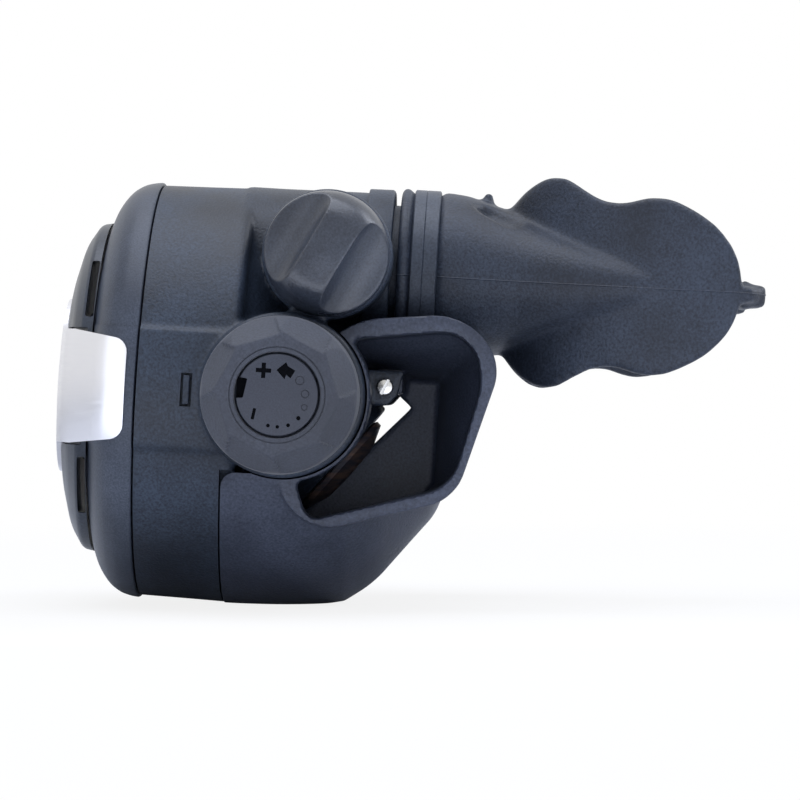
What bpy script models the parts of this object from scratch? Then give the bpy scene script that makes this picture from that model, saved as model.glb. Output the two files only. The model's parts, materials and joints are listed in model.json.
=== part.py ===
"""Second stage (demand valve) of a scuba diving regulator, for Blender 4.5.

Sizes below are millimetres. In the frame of the case, X runs along the axis of the round demand chamber
towards the diver's mouth, Y along the valve barrel from the adjusting knob to the hose inlet, and Z up.
The whole part leans on the foot of its exhaust tee, so everything hangs on one tilted empty, and the
middle of the underside is put at the world's origin.
"""
import math

import bmesh
import bpy
from mathutils import Matrix, Vector

MM = 0.001
REST_TILT = math.radians(3.4)

# The demand chamber
CHAMBER_Z = -0.5
CHAMBER_R = 35.2
SEAM_X = -23.4
REAR_X = -7.2
GAP = 0.3

# The valve barrel crosses behind it, along Y through the frame's origin
BOSS_R = 13.3
BOSS_END = 36.6
BARREL_R = 8.2

# The oval mouth tube
MOUTH_Z = 21.3
COLLAR_X = 15.65
TUBE_HALF = (15.2, 11.9)

# The venturi knob's shaft
VENTURI_X, VENTURI_Z = 5.74, 23.1

# The exhaust port faces down and back
PORT_TURN = math.radians(128.7)
PORT_FACE = 13.4
PORT_SHIFT = -3.2

# Turns that put an object's own Z along an axis of the case
ALONG_X = (0, math.pi / 2, 0)
ALONG_Y = (-math.pi / 2, 0, 0)
ALONG_PORT = (0, PORT_TURN, 0)
# Turns for outlines drawn from above, from the side as (x, z), and from the front as (y, z)
PLAN = (0, 0, 0)
SIDE = (math.pi / 2, 0, 0)
FRONT = (math.pi / 2, 0, math.pi / 2)

for old in list(bpy.data.objects):
    bpy.data.objects.remove(old, do_unlink=True)

parts = bpy.data.collections.new("regulator_second_stage")
tools = bpy.data.collections.new("cutters")
bpy.context.scene.collection.children.link(parts)
bpy.context.scene.collection.children.link(tools)

stand = bpy.data.objects.new("stand", None)
stand.rotation_euler = (0, REST_TILT, 0)
parts.objects.link(stand)


# ---------------------------------------------------------------- materials

def linear(value):
    return value / 12.92 if value <= 0.04045 else ((value + 0.055) / 1.055) ** 2.4


def finish(name, colour, roughness, metallic=0.0):
    """A Principled material; the colour is sRGB, from 0 to 1."""
    look = bpy.data.materials.new(name)
    look.use_nodes = True
    shader = look.node_tree.nodes["Principled BSDF"]
    shader.inputs["Base Color"].default_value = [linear(c) for c in colour] + [1.0]
    shader.inputs["Roughness"].default_value = roughness
    shader.inputs["Metallic"].default_value = metallic
    look.diffuse_color = [linear(c) for c in colour] + [1.0]
    return look


CASE = finish("case_plastic", (0.20, 0.22, 0.26), 0.55)
COVER = finish("cover_plastic", (0.20, 0.21, 0.25), 0.45)
BLACK = finish("bezel_plastic", (0.08, 0.08, 0.10), 0.4)
SILVER = finish("silver_trim", (0.86, 0.86, 0.87), 0.3, 1.0)
KNOB = finish("knob_rubber", (0.29, 0.31, 0.35), 0.7)
INSERT = finish("insert_plastic", (0.28, 0.29, 0.34), 0.5)
VENTURI = finish("venturi_plastic", (0.15, 0.16, 0.19), 0.4)
TEE = finish("tee_plastic", (0.24, 0.25, 0.30), 0.55)
MOUTH = finish("mouthpiece_silicone", (0.19, 0.20, 0.24), 0.6)
BAND = finish("clamp_plastic", (0.17, 0.18, 0.21), 0.5)
CLEAR = finish("valve_silicone", (0.45, 0.38, 0.33), 0.4)
MEMBRANE = finish("diaphragm_silicone", (0.30, 0.30, 0.32), 0.6)
NYLON = finish("white_nylon", (0.85, 0.85, 0.83), 0.5)
BRASS = finish("chromed_brass", (0.75, 0.75, 0.76), 0.2, 1.0)
STEEL = finish("stainless_steel", (0.72, 0.72, 0.72), 0.3, 1.0)
SEAL = finish("black_rubber", (0.06, 0.06, 0.06), 0.7)


# ---------------------------------------------------------------- shapes

def metres(point):
    return Vector(point) * MM


def add(name, mesh, at, turn, look):
    """A mesh as a part, or as a cutter where it has no finish of its own."""
    thing = bpy.data.objects.new(name, mesh)
    (parts if look else tools).objects.link(thing)
    thing.parent = stand
    thing.location = metres(at)
    thing.rotation_euler = turn
    if look:
        mesh.materials.append(look)
    else:
        thing.hide_render = True
        thing.display_type = "WIRE"
    return thing


def mesh_of(name, bm):
    mesh = bpy.data.meshes.new(name)
    bm.to_mesh(mesh)
    bm.free()
    return mesh


def rounded(corners, steps=4):
    """A closed outline. A corner (a, b, r) gets an arc of radius r, and a corner (a, b) stays sharp."""
    points = []
    for i, corner in enumerate(corners):
        here = Vector(corner[:2])
        if len(corner) == 2:
            points.append(here)
            continue
        before = Vector(corners[i - 1][:2]) - here
        after = Vector(corners[(i + 1) % len(corners)][:2]) - here
        half = before.angle(after) / 2
        reach = min(corner[2] / math.tan(half), 0.49 * before.length, 0.49 * after.length)
        radius = reach * math.tan(half)
        middle = here + (before.normalized() + after.normalized()).normalized() * radius / math.sin(half)
        first = here + before.normalized() * reach - middle
        sweep = first.angle_signed(here + after.normalized() * reach - middle)
        for step in range(steps + 1):
            turn = -sweep * step / steps
            points.append(middle + Vector((first.x * math.cos(turn) - first.y * math.sin(turn),
                                           first.x * math.sin(turn) + first.y * math.cos(turn))))
    return points


def smooth(corners, steps=3):
    """A closed curve through every corner (Catmull-Rom)."""
    points = []
    count = len(corners)
    for i in range(count):
        a, b, c, d = (Vector(corners[(i + k) % count]) for k in (-1, 0, 1, 2))
        for step in range(steps):
            t = step / steps
            points.append(0.5 * (2 * b + (c - a) * t + (2 * a - 5 * b + 4 * c - d) * t * t
                                 + (3 * b - a - 3 * c + d) * t ** 3))
    return points


def ring_points(radius, count, start=0.0):
    turns = [start + 2 * math.pi * i / count for i in range(count)]
    return [(radius * math.cos(t), radius * math.sin(t)) for t in turns]


def oval(half_width, half_height, count=32, power=2.3):
    """A superellipse, fuller than an ellipse."""
    points = []
    for i in range(count):
        c, s = math.cos(2 * math.pi * i / count), math.sin(2 * math.pi * i / count)
        points.append((half_width * math.copysign(abs(c) ** (2 / power), c),
                       half_height * math.copysign(abs(s) ** (2 / power), s)))
    return points


def turned(name, profile, at=(0, 0, 0), turn=ALONG_Y, look=None, steps=32):
    """A closed profile of (radius, height) corners, turned about the object's own Z."""
    points = rounded(profile, 2)
    area = sum(a.x * b.y - b.x * a.y for a, b in zip(points, points[1:] + points[:1]))
    if area > 0:
        points.reverse()
    mesh = bpy.data.meshes.new(name)
    count = len(points)
    edges = [(i, (i + 1) % count) for i in range(count)
             if points[i].x > 1e-6 or points[(i + 1) % count].x > 1e-6]
    mesh.from_pydata([metres((p.x, 0, p.y)) for p in points], edges, [])
    thing = add(name, mesh, at, turn, look)
    spin = thing.modifiers.new("turn", "SCREW")
    spin.axis = "Z"
    spin.steps = spin.render_steps = steps
    spin.use_merge_vertices = True
    spin.merge_threshold = 0.00001
    spin.use_smooth_shade = True
    return thing


def prism(name, outline, low, high, at=(0, 0, 0), turn=SIDE, look=None, round_off=0.0):
    """A flat outline pushed from low to high along the object's own Z."""
    bm = bmesh.new()
    face = bm.faces.new([bm.verts.new(metres((p[0], p[1], low))) for p in outline])
    pushed = bmesh.ops.extrude_face_region(bm, geom=[face])["geom"]
    lifted = [v for v in pushed if isinstance(v, bmesh.types.BMVert)]
    bmesh.ops.translate(bm, verts=lifted, vec=(0, 0, (high - low) * MM))
    bmesh.ops.recalc_face_normals(bm, faces=bm.faces)
    thing = add(name, mesh_of(name, bm), at, turn, look)
    if round_off:
        bevel = thing.modifiers.new("edges", "BEVEL")
        bevel.width = round_off * MM
        bevel.segments = 2
        bevel.limit_method = "ANGLE"
        bevel.angle_limit = math.radians(50)
    return thing


def block(name, low, high, look=None, round_off=0.0, turn=(0, 0, 0)):
    """A box between two corners."""
    bm = bmesh.new()
    bmesh.ops.create_cube(bm, size=1)
    size = [(b - a) * MM for a, b in zip(low, high)]
    bmesh.ops.scale(bm, vec=size, verts=bm.verts)
    middle = [(a + b) / 2 for a, b in zip(low, high)]
    thing = add(name, mesh_of(name, bm), middle, turn, look)
    if round_off:
        bevel = thing.modifiers.new("edges", "BEVEL")
        bevel.width = round_off * MM
        bevel.segments = 2
    return thing


def loft(name, rings, look=None, at=(0, 0, 0)):
    """A closed skin through rings of points that match one to one, capped at both ends."""
    bm = bmesh.new()
    rows = [[bm.verts.new(metres(p)) for p in ring] for ring in rings]
    for row, after in zip(rows, rows[1:]):
        for i in range(len(row)):
            j = (i + 1) % len(row)
            bm.faces.new((row[i], row[j], after[j], after[i]))
    bm.faces.new(rows[0])
    bm.faces.new(rows[-1])
    bmesh.ops.recalc_face_normals(bm, faces=bm.faces)
    for face in bm.faces:
        face.smooth = True
    return add(name, mesh_of(name, bm), at, (0, 0, 0), look)


def mouth_ring(x, half_width, half_height):
    return [(x, y, MOUTH_Z + z) for y, z in oval(half_width, half_height)]


def wire(name, points, thickness, look, at=(0, 0, 0), turn=(0, 0, 0), closed=False, sides=8):
    """A round wire through a list of points, as a closed mesh."""
    curve = bpy.data.curves.new(name, "CURVE")
    curve.dimensions = "3D"
    curve.bevel_depth = thickness / 2 * MM
    curve.bevel_resolution = sides // 2 - 2
    curve.use_fill_caps = True
    line = curve.splines.new("POLY")
    line.use_cyclic_u = closed
    line.points.add(len(points) - 1)
    for knot, point in zip(line.points, points):
        knot.co = (*metres(point), 1)
    holder = bpy.data.objects.new(name + "_path", curve)
    tools.objects.link(holder)
    bpy.context.view_layer.update()
    mesh = bpy.data.meshes.new_from_object(holder.evaluated_get(bpy.context.evaluated_depsgraph_get()))
    bpy.data.objects.remove(holder)
    bm = bmesh.new()
    bm.from_mesh(mesh)
    bmesh.ops.remove_doubles(bm, verts=bm.verts, dist=0.000005)
    bmesh.ops.recalc_face_normals(bm, faces=bm.faces)
    bm.to_mesh(mesh)
    bm.free()
    mesh.materials.clear()
    return add(name, mesh, at, turn, look)


def combine(target, operation, pieces):
    for piece in pieces:
        step = target.modifiers.new(piece.name, "BOOLEAN")
        step.operation = operation
        step.solver = "EXACT"
        step.object = piece
    return target


def join(target, *pieces):
    return combine(target, "UNION", pieces)


def cut(target, *pieces):
    return combine(target, "DIFFERENCE", pieces)


def keep(target, piece):
    return combine(target, "INTERSECT", [piece])


def along_port(distance, across):
    """A point in the case's frame, from how far out it lies along the port and how far up its face."""
    s, c = math.sin(PORT_TURN), math.cos(PORT_TURN)
    return (distance * s - across * c, 0, distance * c + across * s)


# ---------------------------------------------------------------- case

def port_rod(name, radius, low, high, across=0.0, beside=0.0, steps=14):
    """A rod square to the exhaust port's face."""
    x, _, z = along_port(0, PORT_SHIFT + across)
    return turned(name, [(0, low), (radius, low), (radius, high), (0, high)],
                  at=(x, beside, z), turn=ALONG_PORT, steps=steps)


def case_housing():
    """The round chamber, the barrel's cross tube, the mouth tube, the bosses and the exhaust port."""
    r = CHAMBER_R
    case = turned("case_housing", [(0, REAR_X), (r, REAR_X, 1.6), (r - 0.2, -15), (r - 0.4, SEAM_X),
                                   (0, SEAM_X)], at=(0, 0, CHAMBER_Z), turn=ALONG_X, look=CASE, steps=40)
    band = turned("case_band", [(0, -8.2), (r + 0.5, -8.2, 0.8), (r + 0.3, SEAM_X), (0, SEAM_X)],
                  at=(0, 0, CHAMBER_Z), turn=ALONG_X, steps=40)
    keep(band, block("case_band_height", (-30, -45, -9.7), (0, 45, 9.6)))
    cross_tube = turned("case_cross_tube",
                        [(0, -BOSS_END), (BOSS_R, -BOSS_END, 0.7), (BOSS_R, -20), (12.6, -19.3), (12.6, 19.3),
                         (BOSS_R, 20), (BOSS_R, BOSS_END, 0.7), (0, BOSS_END)], steps=32)
    neck = loft("case_neck", [mouth_ring(-9, 20.6, 13.6), mouth_ring(-3, 19.3, 13.6), mouth_ring(4, 18.2, 13.7),
                              mouth_ring(11.2, 17.6, 13.8), mouth_ring(11.3, 18.0, 14.35),
                              mouth_ring(15.2, 18.1, 14.5), mouth_ring(COLLAR_X, 17.7, 14.1),
                              mouth_ring(COLLAR_X + 0.01, *TUBE_HALF), mouth_ring(24.4, *TUBE_HALF)])
    boss = turned("case_venturi_boss", [(0, -31.5), (10.9, -31.5, 0.6), (10.4, -10), (0, -10)],
                  at=(VENTURI_X, 0, VENTURI_Z))
    port = port_rod("case_port", 12.2, 0, PORT_FACE, steps=24)
    lugs = [prism("case_lug" + side, rounded([(9, 5), (19.2, 5), (18.5, 2.8), (18.4, 1.35), (16.6, -0.85),
                                              (9, -0.85)]), low, low + 1.6)
            for side, low in (("_left", 18.8), ("_right", -20.4))]
    join(case, band, cross_tube, neck, boss, port, *lugs)

    chamber = turned("case_chamber", [(0, -25), (32.5, -25), (32.5, -19), (29.4, -19), (29.4, -17.4),
                                      (32.6, -16), (32.6, -9.4, 3), (0, -9.4)],
                     at=(0, 0, CHAMBER_Z), turn=ALONG_X, steps=40)
    valve_room = turned("case_valve_room", [(0, -19), (10.6, -19), (10.6, 19), (0, 19)], steps=26)
    barrel_bore = turned("case_barrel_bore", [(0, -50), (BARREL_R + GAP, -50), (BARREL_R + GAP, 50), (0, 50)])
    passage = loft("case_passage", [mouth_ring(-12, 16.5, 11.8), mouth_ring(10, 15.2, 11.6),
                                    mouth_ring(26, 13.7, 10.4)])
    shaft_bore = turned("case_venturi_bore", [(0, -40), (3.2, -40), (3.2, -8), (0, -8)],
                        at=(VENTURI_X, 0, VENTURI_Z), steps=20)
    ports = [port_rod("case_port_hole_%d" % i, 2.1, 6, 16, across=a, beside=b)
             for i, (a, b) in enumerate(ring_points(5.3, 6))]
    stem_hole = port_rod("case_stem_hole", 1.3, 6, 16)
    pocket = block("case_lock_pocket", (-16.3, -40, -2.75), (-14.5, -34, 2.65))
    rebate = turned("case_tee_rebate", [(32.9, -9.5), (40, -9.5), (40, -5.5), (32.9, -5.5)],
                    at=(0, 0, CHAMBER_Z), turn=ALONG_X, steps=40)
    keep(rebate, block("case_rebate_depth", (-20, -45, -45), (20, 45, -12.6)))
    screw_holes = turned("case_screw_holes", [(0, -30), (1.2, -30), (1.2, 30), (0, 30)],
                         at=(16.07, 0, 2.3), steps=16)
    cut(case, chamber, valve_room, barrel_bore, passage, shaft_bore, *ports, stem_hole, pocket, rebate,
        screw_holes)
    return case


def cover_lock():
    """The small latch that shows in the side of the case and holds the front cover."""
    return block("cover_lock", (-15.95, -35.5, -2.4), (-14.85, -34.4, 2.3), CASE, 0.2)


# ---------------------------------------------------------------- front

BEZEL_RIM = (27.6, -32.0)


def front_cover():
    """The screwed ring that closes the chamber, with a perforated web under the purge button."""
    cover = turned("front_cover", [(35.2, -23.7), (35.1, -24.4, 0.6), (34.2, -27), (32, -29.4),
                                   (28.6, -31.2), (24, -32.3), (20.6, -32.9), (19.2, -31.2),
                                   (13.4, -31.2), (13.4, -28.0), (3.2, -28.0), (3.2, -26.4), (15.0, -26.4),
                                   (16.4, -29.4), (19.8, -29.4), (25.0, -30.0), (29.2, -28.2),
                                   (30.4, -26.5), (30.4, -22.1), (32.1, -22.1), (32.1, -23.7)],
                   at=(0, 0, CHAMBER_Z), turn=ALONG_X, look=COVER, steps=40)
    holes = [turned("cover_hole_%d" % i, [(0, -34), (2.3, -34), (2.3, -25), (0, -25)],
                    at=(0, y, CHAMBER_Z + z), turn=ALONG_X, steps=10)
             for i, (y, z) in enumerate(ring_points(8.8, 8, 0.2))]
    return cut(cover, *holes)


def trim_outline(pad=0.0):
    """The trim from the front: a band across the cover that swells round the purge button."""
    half, wide, ring = 9.3 + pad, 16.5, 14.6 + pad
    corners = [(-45, half), (-wide, half, 3), (-7, ring, 5), (7, ring, 5), (wide, half, 3), (45, half)]
    return rounded(corners + [(y, -z, *r) for y, z, *r in reversed(corners)])


def trim_shell(name, pad=0.0, look=None):
    """The trim's solid, its wings tapering to rounded ends, or the wider hollow that the bezel has for it."""
    outer = [(35.6, -25.3), (35.3, -26.6), (33.8, -29.8, 1.5), (30.6, -32.6), (28.2, -34.4), (24.4, -36.5),
             (19.2, -37.8), (14.2, -38.4), (10.8 - pad, -38.5, 0.4)]
    inner = [(10.8 - pad, -37.2 + pad), (14.2, -37.1 + pad), (19.0, -36.4 + pad), (23.4, -35.2 + pad),
             (28.4 + pad, -32.3 + pad / 2), (32.1, -30.0 + pad), (34.6, -26.9), (35.15, -25.3)]
    if pad:
        outer = [(r + (2 if r > 11 else 0), x - 3) for r, x, *_ in outer]
    shell = turned(name, outer + inner, at=(0, 0, CHAMBER_Z), turn=ALONG_X, look=look, steps=40)
    keep(shell, prism(name + "_outline", trim_outline(pad), -45, -20, at=(0, 0, CHAMBER_Z), turn=FRONT))
    if not pad:
        wing = rounded([(-45, 20), (-36.8, 20), (-36.2, 9.5), (-25.3, 7.9, 2.2), (-25.3, -7.9, 2.2),
                        (-36.2, -9.5), (-36.8, -20), (-45, -20)])
        keep(shell, prism(name + "_wing", wing, -40, 40, at=(0, 0, CHAMBER_Z)))
    return shell


def cover_bezel():
    """The raised black ring, cut away behind its arms so that water reaches the diaphragm."""
    bezel = turned("cover_bezel", [(27.9, -31.9), (27.5, -33.9, 0.6), (24.4, -35.6), (19.3, -37.0),
                                   (14.2, -37.8), (11.2, -37.9, 0.5), (11.2, -35.4), (18.4, -34.9),
                                   (25.2, -32.8)],
                   at=(0, 0, CHAMBER_Z), turn=ALONG_X, look=BLACK, steps=40)
    hollow = trim_shell("bezel_trim_bed", GAP)
    slits = [block("bezel_slit_%d" % i, (-33.6, -32, z), (-31.0, 32, z + 9.4))
             for i, z in enumerate((10.9, -21.4))]
    return cut(bezel, hollow, *slits)


def trim_plate():
    """The silver trim, with a wing down each side of the cover."""
    return trim_shell("trim_plate", 0.0, SILVER)


def purge_button():
    """The domed button in the middle, with the stem that presses the diaphragm."""
    return turned("purge_button", [(0, -39.2), (4, -39.1), (8.4, -38.6, 2), (10.3, -37.4, 0.8), (10.3, -34.8),
                                   (12.6, -34.8), (12.6, -33.6), (2.7, -33.6), (2.7, -21.6), (0, -21.6)],
                  at=(0, 0, CHAMBER_Z), turn=ALONG_X, look=BLACK, steps=24)


def helix(radius, low, high, turns, per_turn=9):
    count = int(turns * per_turn)
    return [(radius * math.cos(2 * math.pi * i / per_turn), radius * math.sin(2 * math.pi * i / per_turn),
             low + (high - low) * i / count) for i in range(count + 1)]


def purge_spring():
    """The light coil that lifts the purge button, modelled as it sits between button and web."""
    return wire("purge_spring", helix(5.0, -33.0, -28.6, 4), 0.5, STEEL, at=(0, 0, CHAMBER_Z), turn=ALONG_X,
                sides=6)


def clamp_ring():
    return turned("clamp_ring", [(28.6, -21.8), (32.2, -21.8), (32.2, -21.0), (28.6, -21.0)],
                  at=(0, 0, CHAMBER_Z), turn=ALONG_X, look=NYLON, steps=28)


def diaphragm():
    """The thin membrane with one deep convolution and a bead at its rim."""
    return turned("diaphragm", [(0, -21.0), (24.2, -21.0), (25.0, -22.6), (27.2, -22.6),
                                (28.4, -20.7), (32.1, -20.7), (32.1, -19.3), (29.2, -19.3), (27.9, -20.2),
                                (27.0, -22.0), (25.4, -22.0), (24.6, -20.4), (0, -20.4)],
                  at=(0, 0, CHAMBER_Z), turn=ALONG_X, look=MEMBRANE, steps=24)


def diaphragm_plate():
    """The stiff disc that the lever runs on."""
    return turned("diaphragm_plate", [(0, -20.1), (14, -20.1), (14, -19.5, 0.2), (3, -19.0), (0, -19.0)],
                  at=(0, 0, CHAMBER_Z), turn=ALONG_X, look=NYLON, steps=28)


# ---------------------------------------------------------------- valve

def rod(name, profile, look, steps=20):
    """A piece turned about the barrel's axis: its heights are places along Y."""
    return turned(name, profile, look=look, steps=steps)


LEVER_X, LEVER_Y = -6.6, -12.6


def valve_barrel():
    """The tube through the case, with a window for the lever and a port for the air."""
    barrel = rod("valve_barrel", [(5.9, -35.8), (BARREL_R, -35.8), (BARREL_R, 40.2), (5.7, 40.2), (5.7, 27.6),
                                  (4.9, 27.4), (4.9, 8), (6.2, 7), (6.2, -33.4), (5.9, -33.4)], BRASS, 32)
    window = block("barrel_window", (-10, -15.8, -4.2), (0, -2.5, 4.2))
    pin_holes = turned("barrel_pin_holes", [(0, -9), (0.8, -9), (0.8, 9), (0, 9)], at=(LEVER_X, LEVER_Y, 0),
                       turn=PLAN, steps=12)
    outlet = turned("barrel_outlet", [(0, 0), (3, 0), (3, 12), (0, 12)], at=(0, 14, 0), turn=PLAN, steps=20)
    return cut(barrel, window, pin_holes, outlet)


def barrel_nut():
    """The slotted ring nut that clamps the barrel in the case."""
    nut = rod("barrel_nut", [(BARREL_R + GAP, 36.95), (11.4, 36.95), (11.4, 39.6, 0.5), (BARREL_R + GAP, 39.6)],
              BRASS)
    notches = [block("nut_notch_%d" % i, (x - 1.2, 38.2, z - 1.2), (x + 1.2, 41, z + 1.2))
               for i, (x, z) in enumerate(ring_points(11.6, 4, math.pi / 4))]
    return cut(nut, *notches)


def inlet_fitting():
    """The hexagon and the male thread that takes the hose's swivel nut."""
    fitting = rod("inlet_fitting", [(2.6, 28), (5.4, 28), (5.4, 40.5), (5.4, 44.5), (6.5, 45.2), (7.1, 45.7),
                                    (7.1, 51.6), (6.5, 52.2), (3.6, 52.2), (2.6, 49)], BRASS, 20)
    hexagon = prism("inlet_hexagon", ring_points(9.6, 6), -44.8, -40.6, round_off=0.4)
    bore = turned("inlet_bore", [(0, 20), (2.6, 20), (2.6, 49), (3.6, 52.3), (0, 52.3)], steps=20)
    join(fitting, hexagon)
    return cut(fitting, bore)


def orifice():
    """The adjustable cone that the valve seat closes on."""
    return rod("orifice", [(1.6, 19.5), (2.2, 19.5), (3.0, 20.6), (4.6, 21.4), (4.6, 23.0), (3.1, 23.0),
                           (3.1, 25.0), (4.6, 25.0), (4.6, 27.3), (1.6, 27.3)], BRASS, 20)


def seal(name, axis_radius, thickness, y, x=0.0, z=0.0):
    """A rubber ring round an axis along Y."""
    return wire(name, [(a, b, 0) for a, b in ring_points(axis_radius, 16)], thickness, SEAL,
                at=(x, y, z), turn=ALONG_Y, closed=True, sides=6)


def poppet():
    """The sliding valve: a head that carries the seat, and a stem that the lever's nut hangs on."""
    return rod("poppet", [(0, -22), (1.6, -22), (1.6, 12.8), (3.4, 13.8), (4.5, 13.8), (4.5, 19.0), (3.0, 19.0),
                          (3.0, 17.4), (0, 17.4)], NYLON, 20)


def poppet_seat():
    return rod("poppet_seat", [(0, 17.7), (2.7, 17.7), (2.7, 19.2), (0, 19.2)], SEAL, 20)


def poppet_nut():
    nut = prism("poppet_nut", ring_points(3.4, 6), 13.7, 16.3, look=BRASS)
    return cut(nut, turned("poppet_nut_bore", [(0, -20), (1.9, -20), (1.9, -10), (0, -10)], steps=16))


def lever():
    """The fork that turns the plate's travel into a pull on the poppet's nut; it pivots about Z."""
    x, y = LEVER_X, LEVER_Y
    arm = [(x + 1.0, y - 0.9), (x - 0.9, y - 0.8), (x - 2.6, y + 2.6, 1.5), (-15.6, -1.2, 1.0),
           (-18.7, -1.2, 0.6), (-18.7, 1.0, 0.6), (-15.0, 0.9, 1.5), (x - 0.6, y + 4.6, 1.5),
           (x + 1.6, y + 1.4), (-0.9, y + 0.7), (-0.9, y - 0.7)]
    points = [(a - x, b - y) for a, b, *_ in rounded(arm)]
    fork = prism("lever", points, -3.2, 3.2, at=(x, y, 0), turn=PLAN, look=STEEL)
    slot = block("lever_slot", (-5.4, -20, -2.0), (5, -7, 2.0))
    eye = turned("lever_eye", [(0, -9), (0.8, -9), (0.8, 9), (0, 9)], at=(x, y, 0), turn=PLAN, steps=12)
    return cut(fork, slot, eye)


def lever_pin():
    """The pin that the lever turns on, held in the walls of the barrel."""
    return turned("lever_pin", [(0, -4.8), (0.5, -4.8), (0.5, 4.8), (0, 4.8)], at=(LEVER_X, LEVER_Y, 0),
                  turn=PLAN, look=STEEL, steps=12)


def valve_spring():
    return wire("valve_spring", helix(3.6, -25.7, -16.9, 5.5), 0.8, STEEL, turn=ALONG_Y, sides=6)


def spring_pusher():
    """The cup that the adjusting screw drives against the spring."""
    return rod("spring_pusher", [(2.1, -26.4), (5.8, -26.4), (5.8, -29.6), (2.1, -29.6)], NYLON, 20)


def adjusting_spindle():
    """The screw that the knob turns; it bears on the packing nut and threads into the pusher."""
    return rod("adjusting_spindle", [(0, -24.6), (1.8, -24.6), (1.8, -30.9), (5.8, -30.9), (5.8, -31.4),
                                     (4.2, -31.4), (4.2, -32.7), (5.8, -32.7), (5.8, -33.1), (3.0, -33.1),
                                     (3.0, -46.1), (1.6, -46.1), (1.6, -39.5), (0, -39.5)], BRASS, 20)


def packing_nut():
    return rod("packing_nut", [(3.4, -33.5), (5.6, -33.5), (5.6, -36.1), (8.0, -36.1), (8.0, -37.4, 0.4),
                               (3.4, -37.4)], BRASS, 24)


# ---------------------------------------------------------------- knobs

KNOB_BACK, KNOB_FRONT = -38.0, -50.6


def adjusting_knob():
    """The rubber-faced knob: a sloping grip with eight flats, hollow behind, recessed for its disc."""
    knob = turned("adjusting_knob", [(7.9, KNOB_FRONT), (10.2, KNOB_FRONT + 0.3), (12.3, -46.6),
                                     (12.6, -43.0), (12.6, KNOB_BACK, 0.6), (10.8, KNOB_BACK),
                                     (10.8, -44.0), (6.0, -44.0), (6.0, KNOB_BACK), (3.3, KNOB_BACK),
                                     (3.3, -46.4), (1.6, -46.4), (1.6, -46.9), (3.3, -46.9), (3.3, -48.8),
                                     (7.0, -48.8), (7.0, KNOB_FRONT, 0.3)], look=KNOB, steps=32)
    flats = []
    for i in range(8):
        flat = block("knob_flat_%d" % i, (-3, -8, -7), (3, 8, 7))
        flat.matrix_basis = (Matrix.Rotation(-math.radians(22.5 + 45 * i), 4, "Y")
                             @ Matrix.Translation(metres((10.7, -48.6, 0)))
                             @ Matrix.Rotation(math.radians(-33), 4, "Z") @ Matrix.Translation(metres((3, 0, 0))))
        flats.append(flat)
    return cut(knob, *flats)


def knob_insert():
    """The disc with the scale, set in the knob's face, with the window that shows the stop."""
    disc = turned("knob_insert", [(0, -50.5), (6.4, -50.5, 0.2), (6.4, -49.1), (0, -49.1)], look=INSERT, steps=32)
    return cut(disc, block("insert_window", (-8, -52, -1.7), (-5.1, -48, 1.9)))


def knob_screw():
    head = rod("knob_screw", [(0, -48.7), (2.4, -48.7, 0.6), (2.9, -47.2), (1.3, -47.2), (1.3, -41),
                              (0, -41)], STEEL, 20)
    return cut(head, block("knob_screw_slot", (-3.2, -50, -0.35), (3.2, -48.1, 0.35)))


def venturi_knob():
    """The grip over the mouth tube: a round skirt with a ridge across it, hollowed on both flanks."""
    at = (VENTURI_X, 0, VENTURI_Z)
    knob = turned("venturi_knob", [(0, -41.0), (5.5, -40.6, 2), (8.9, -37.2, 3), (9.9, -34.6, 1),
                                   (9.9, -31.9), (3.3, -31.9), (3.3, -35.5), (0, -35.5)],
                  at=at, look=VENTURI, steps=32)
    lean = math.radians(64)
    for side in (-1, 1):
        scoop = turned("venturi_scoop_%d" % side, [(0, -16), (5.6, -16), (5.6, 16), (0, 16)], turn=(0, 0, 0),
                       steps=32)
        scoop.rotation_euler = (0, math.pi / 2 - lean, 0)
        away = side * 8.4
        scoop.location = metres((VENTURI_X - away * math.sin(lean), -41.4, VENTURI_Z + away * math.cos(lean)))
        cut(knob, scoop)
    return knob


def venturi_vane():
    """The shaft and the flap that steers the air towards the mouth or across it."""
    at = (VENTURI_X, 0, VENTURI_Z)
    vane = turned("venturi_vane", [(0, -35.2), (2.8, -35.2), (2.8, -27.9), (2.1, -27.9), (2.1, -26.3),
                                   (2.8, -26.3), (2.8, 9.4), (0, 9.4)], at=at, look=NYLON, steps=20)
    flap = prism("vane_flap", rounded([(-8.6, -0.7, 0.5), (8.6, -0.7, 0.5), (8.6, 0.7, 0.5), (-8.6, 0.7, 0.5)]),
                 -8.6, 9.0, at=at)
    return join(vane, flap)


# ---------------------------------------------------------------- exhaust

def exhaust_valve():
    """The thin mushroom valve over the port, buttoned through its middle."""
    x, _, z = along_port(0, PORT_SHIFT)
    return turned("exhaust_valve", [(0, 7.9), (0.8, 7.9), (1.7, 8.5), (0.95, 8.9), (0.95, 13.7), (9.0, 13.7),
                                    (9.6, 13.9), (9.6, 14.3), (6.0, 14.8), (0, 15.0)],
                  at=(x, 0, z), turn=ALONG_PORT, look=CLEAR, steps=28)


TEE_END = 33.0


def tee_tube(name, hollow, reach, round_off=0.0, look=None):
    """The D-shaped tunnel that opens to both sides, or the hollow inside it."""
    if hollow:
        outline = rounded([(8.0, 9.3), (29.0, 12.3, 5.5), (32.3, 5.0, 5), (28.0, -13.4, 4.5), (5.0, -20.0, 2.6),
                           (3.0, -14.5, 1.5), (3.6, -12.0)])
    else:
        outline = rounded([(5.0, 8.0), (11.6, 12.9, 4), (29.5, 14.9, 7), (34.8, 6.5, 4), (28.6, -15.2, 5),
                           (6.5, -21.7, 5), (0.8, -17, 3), (0, -12)])
    return prism(name, outline, -reach, reach, round_off=round_off, look=look)


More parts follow.
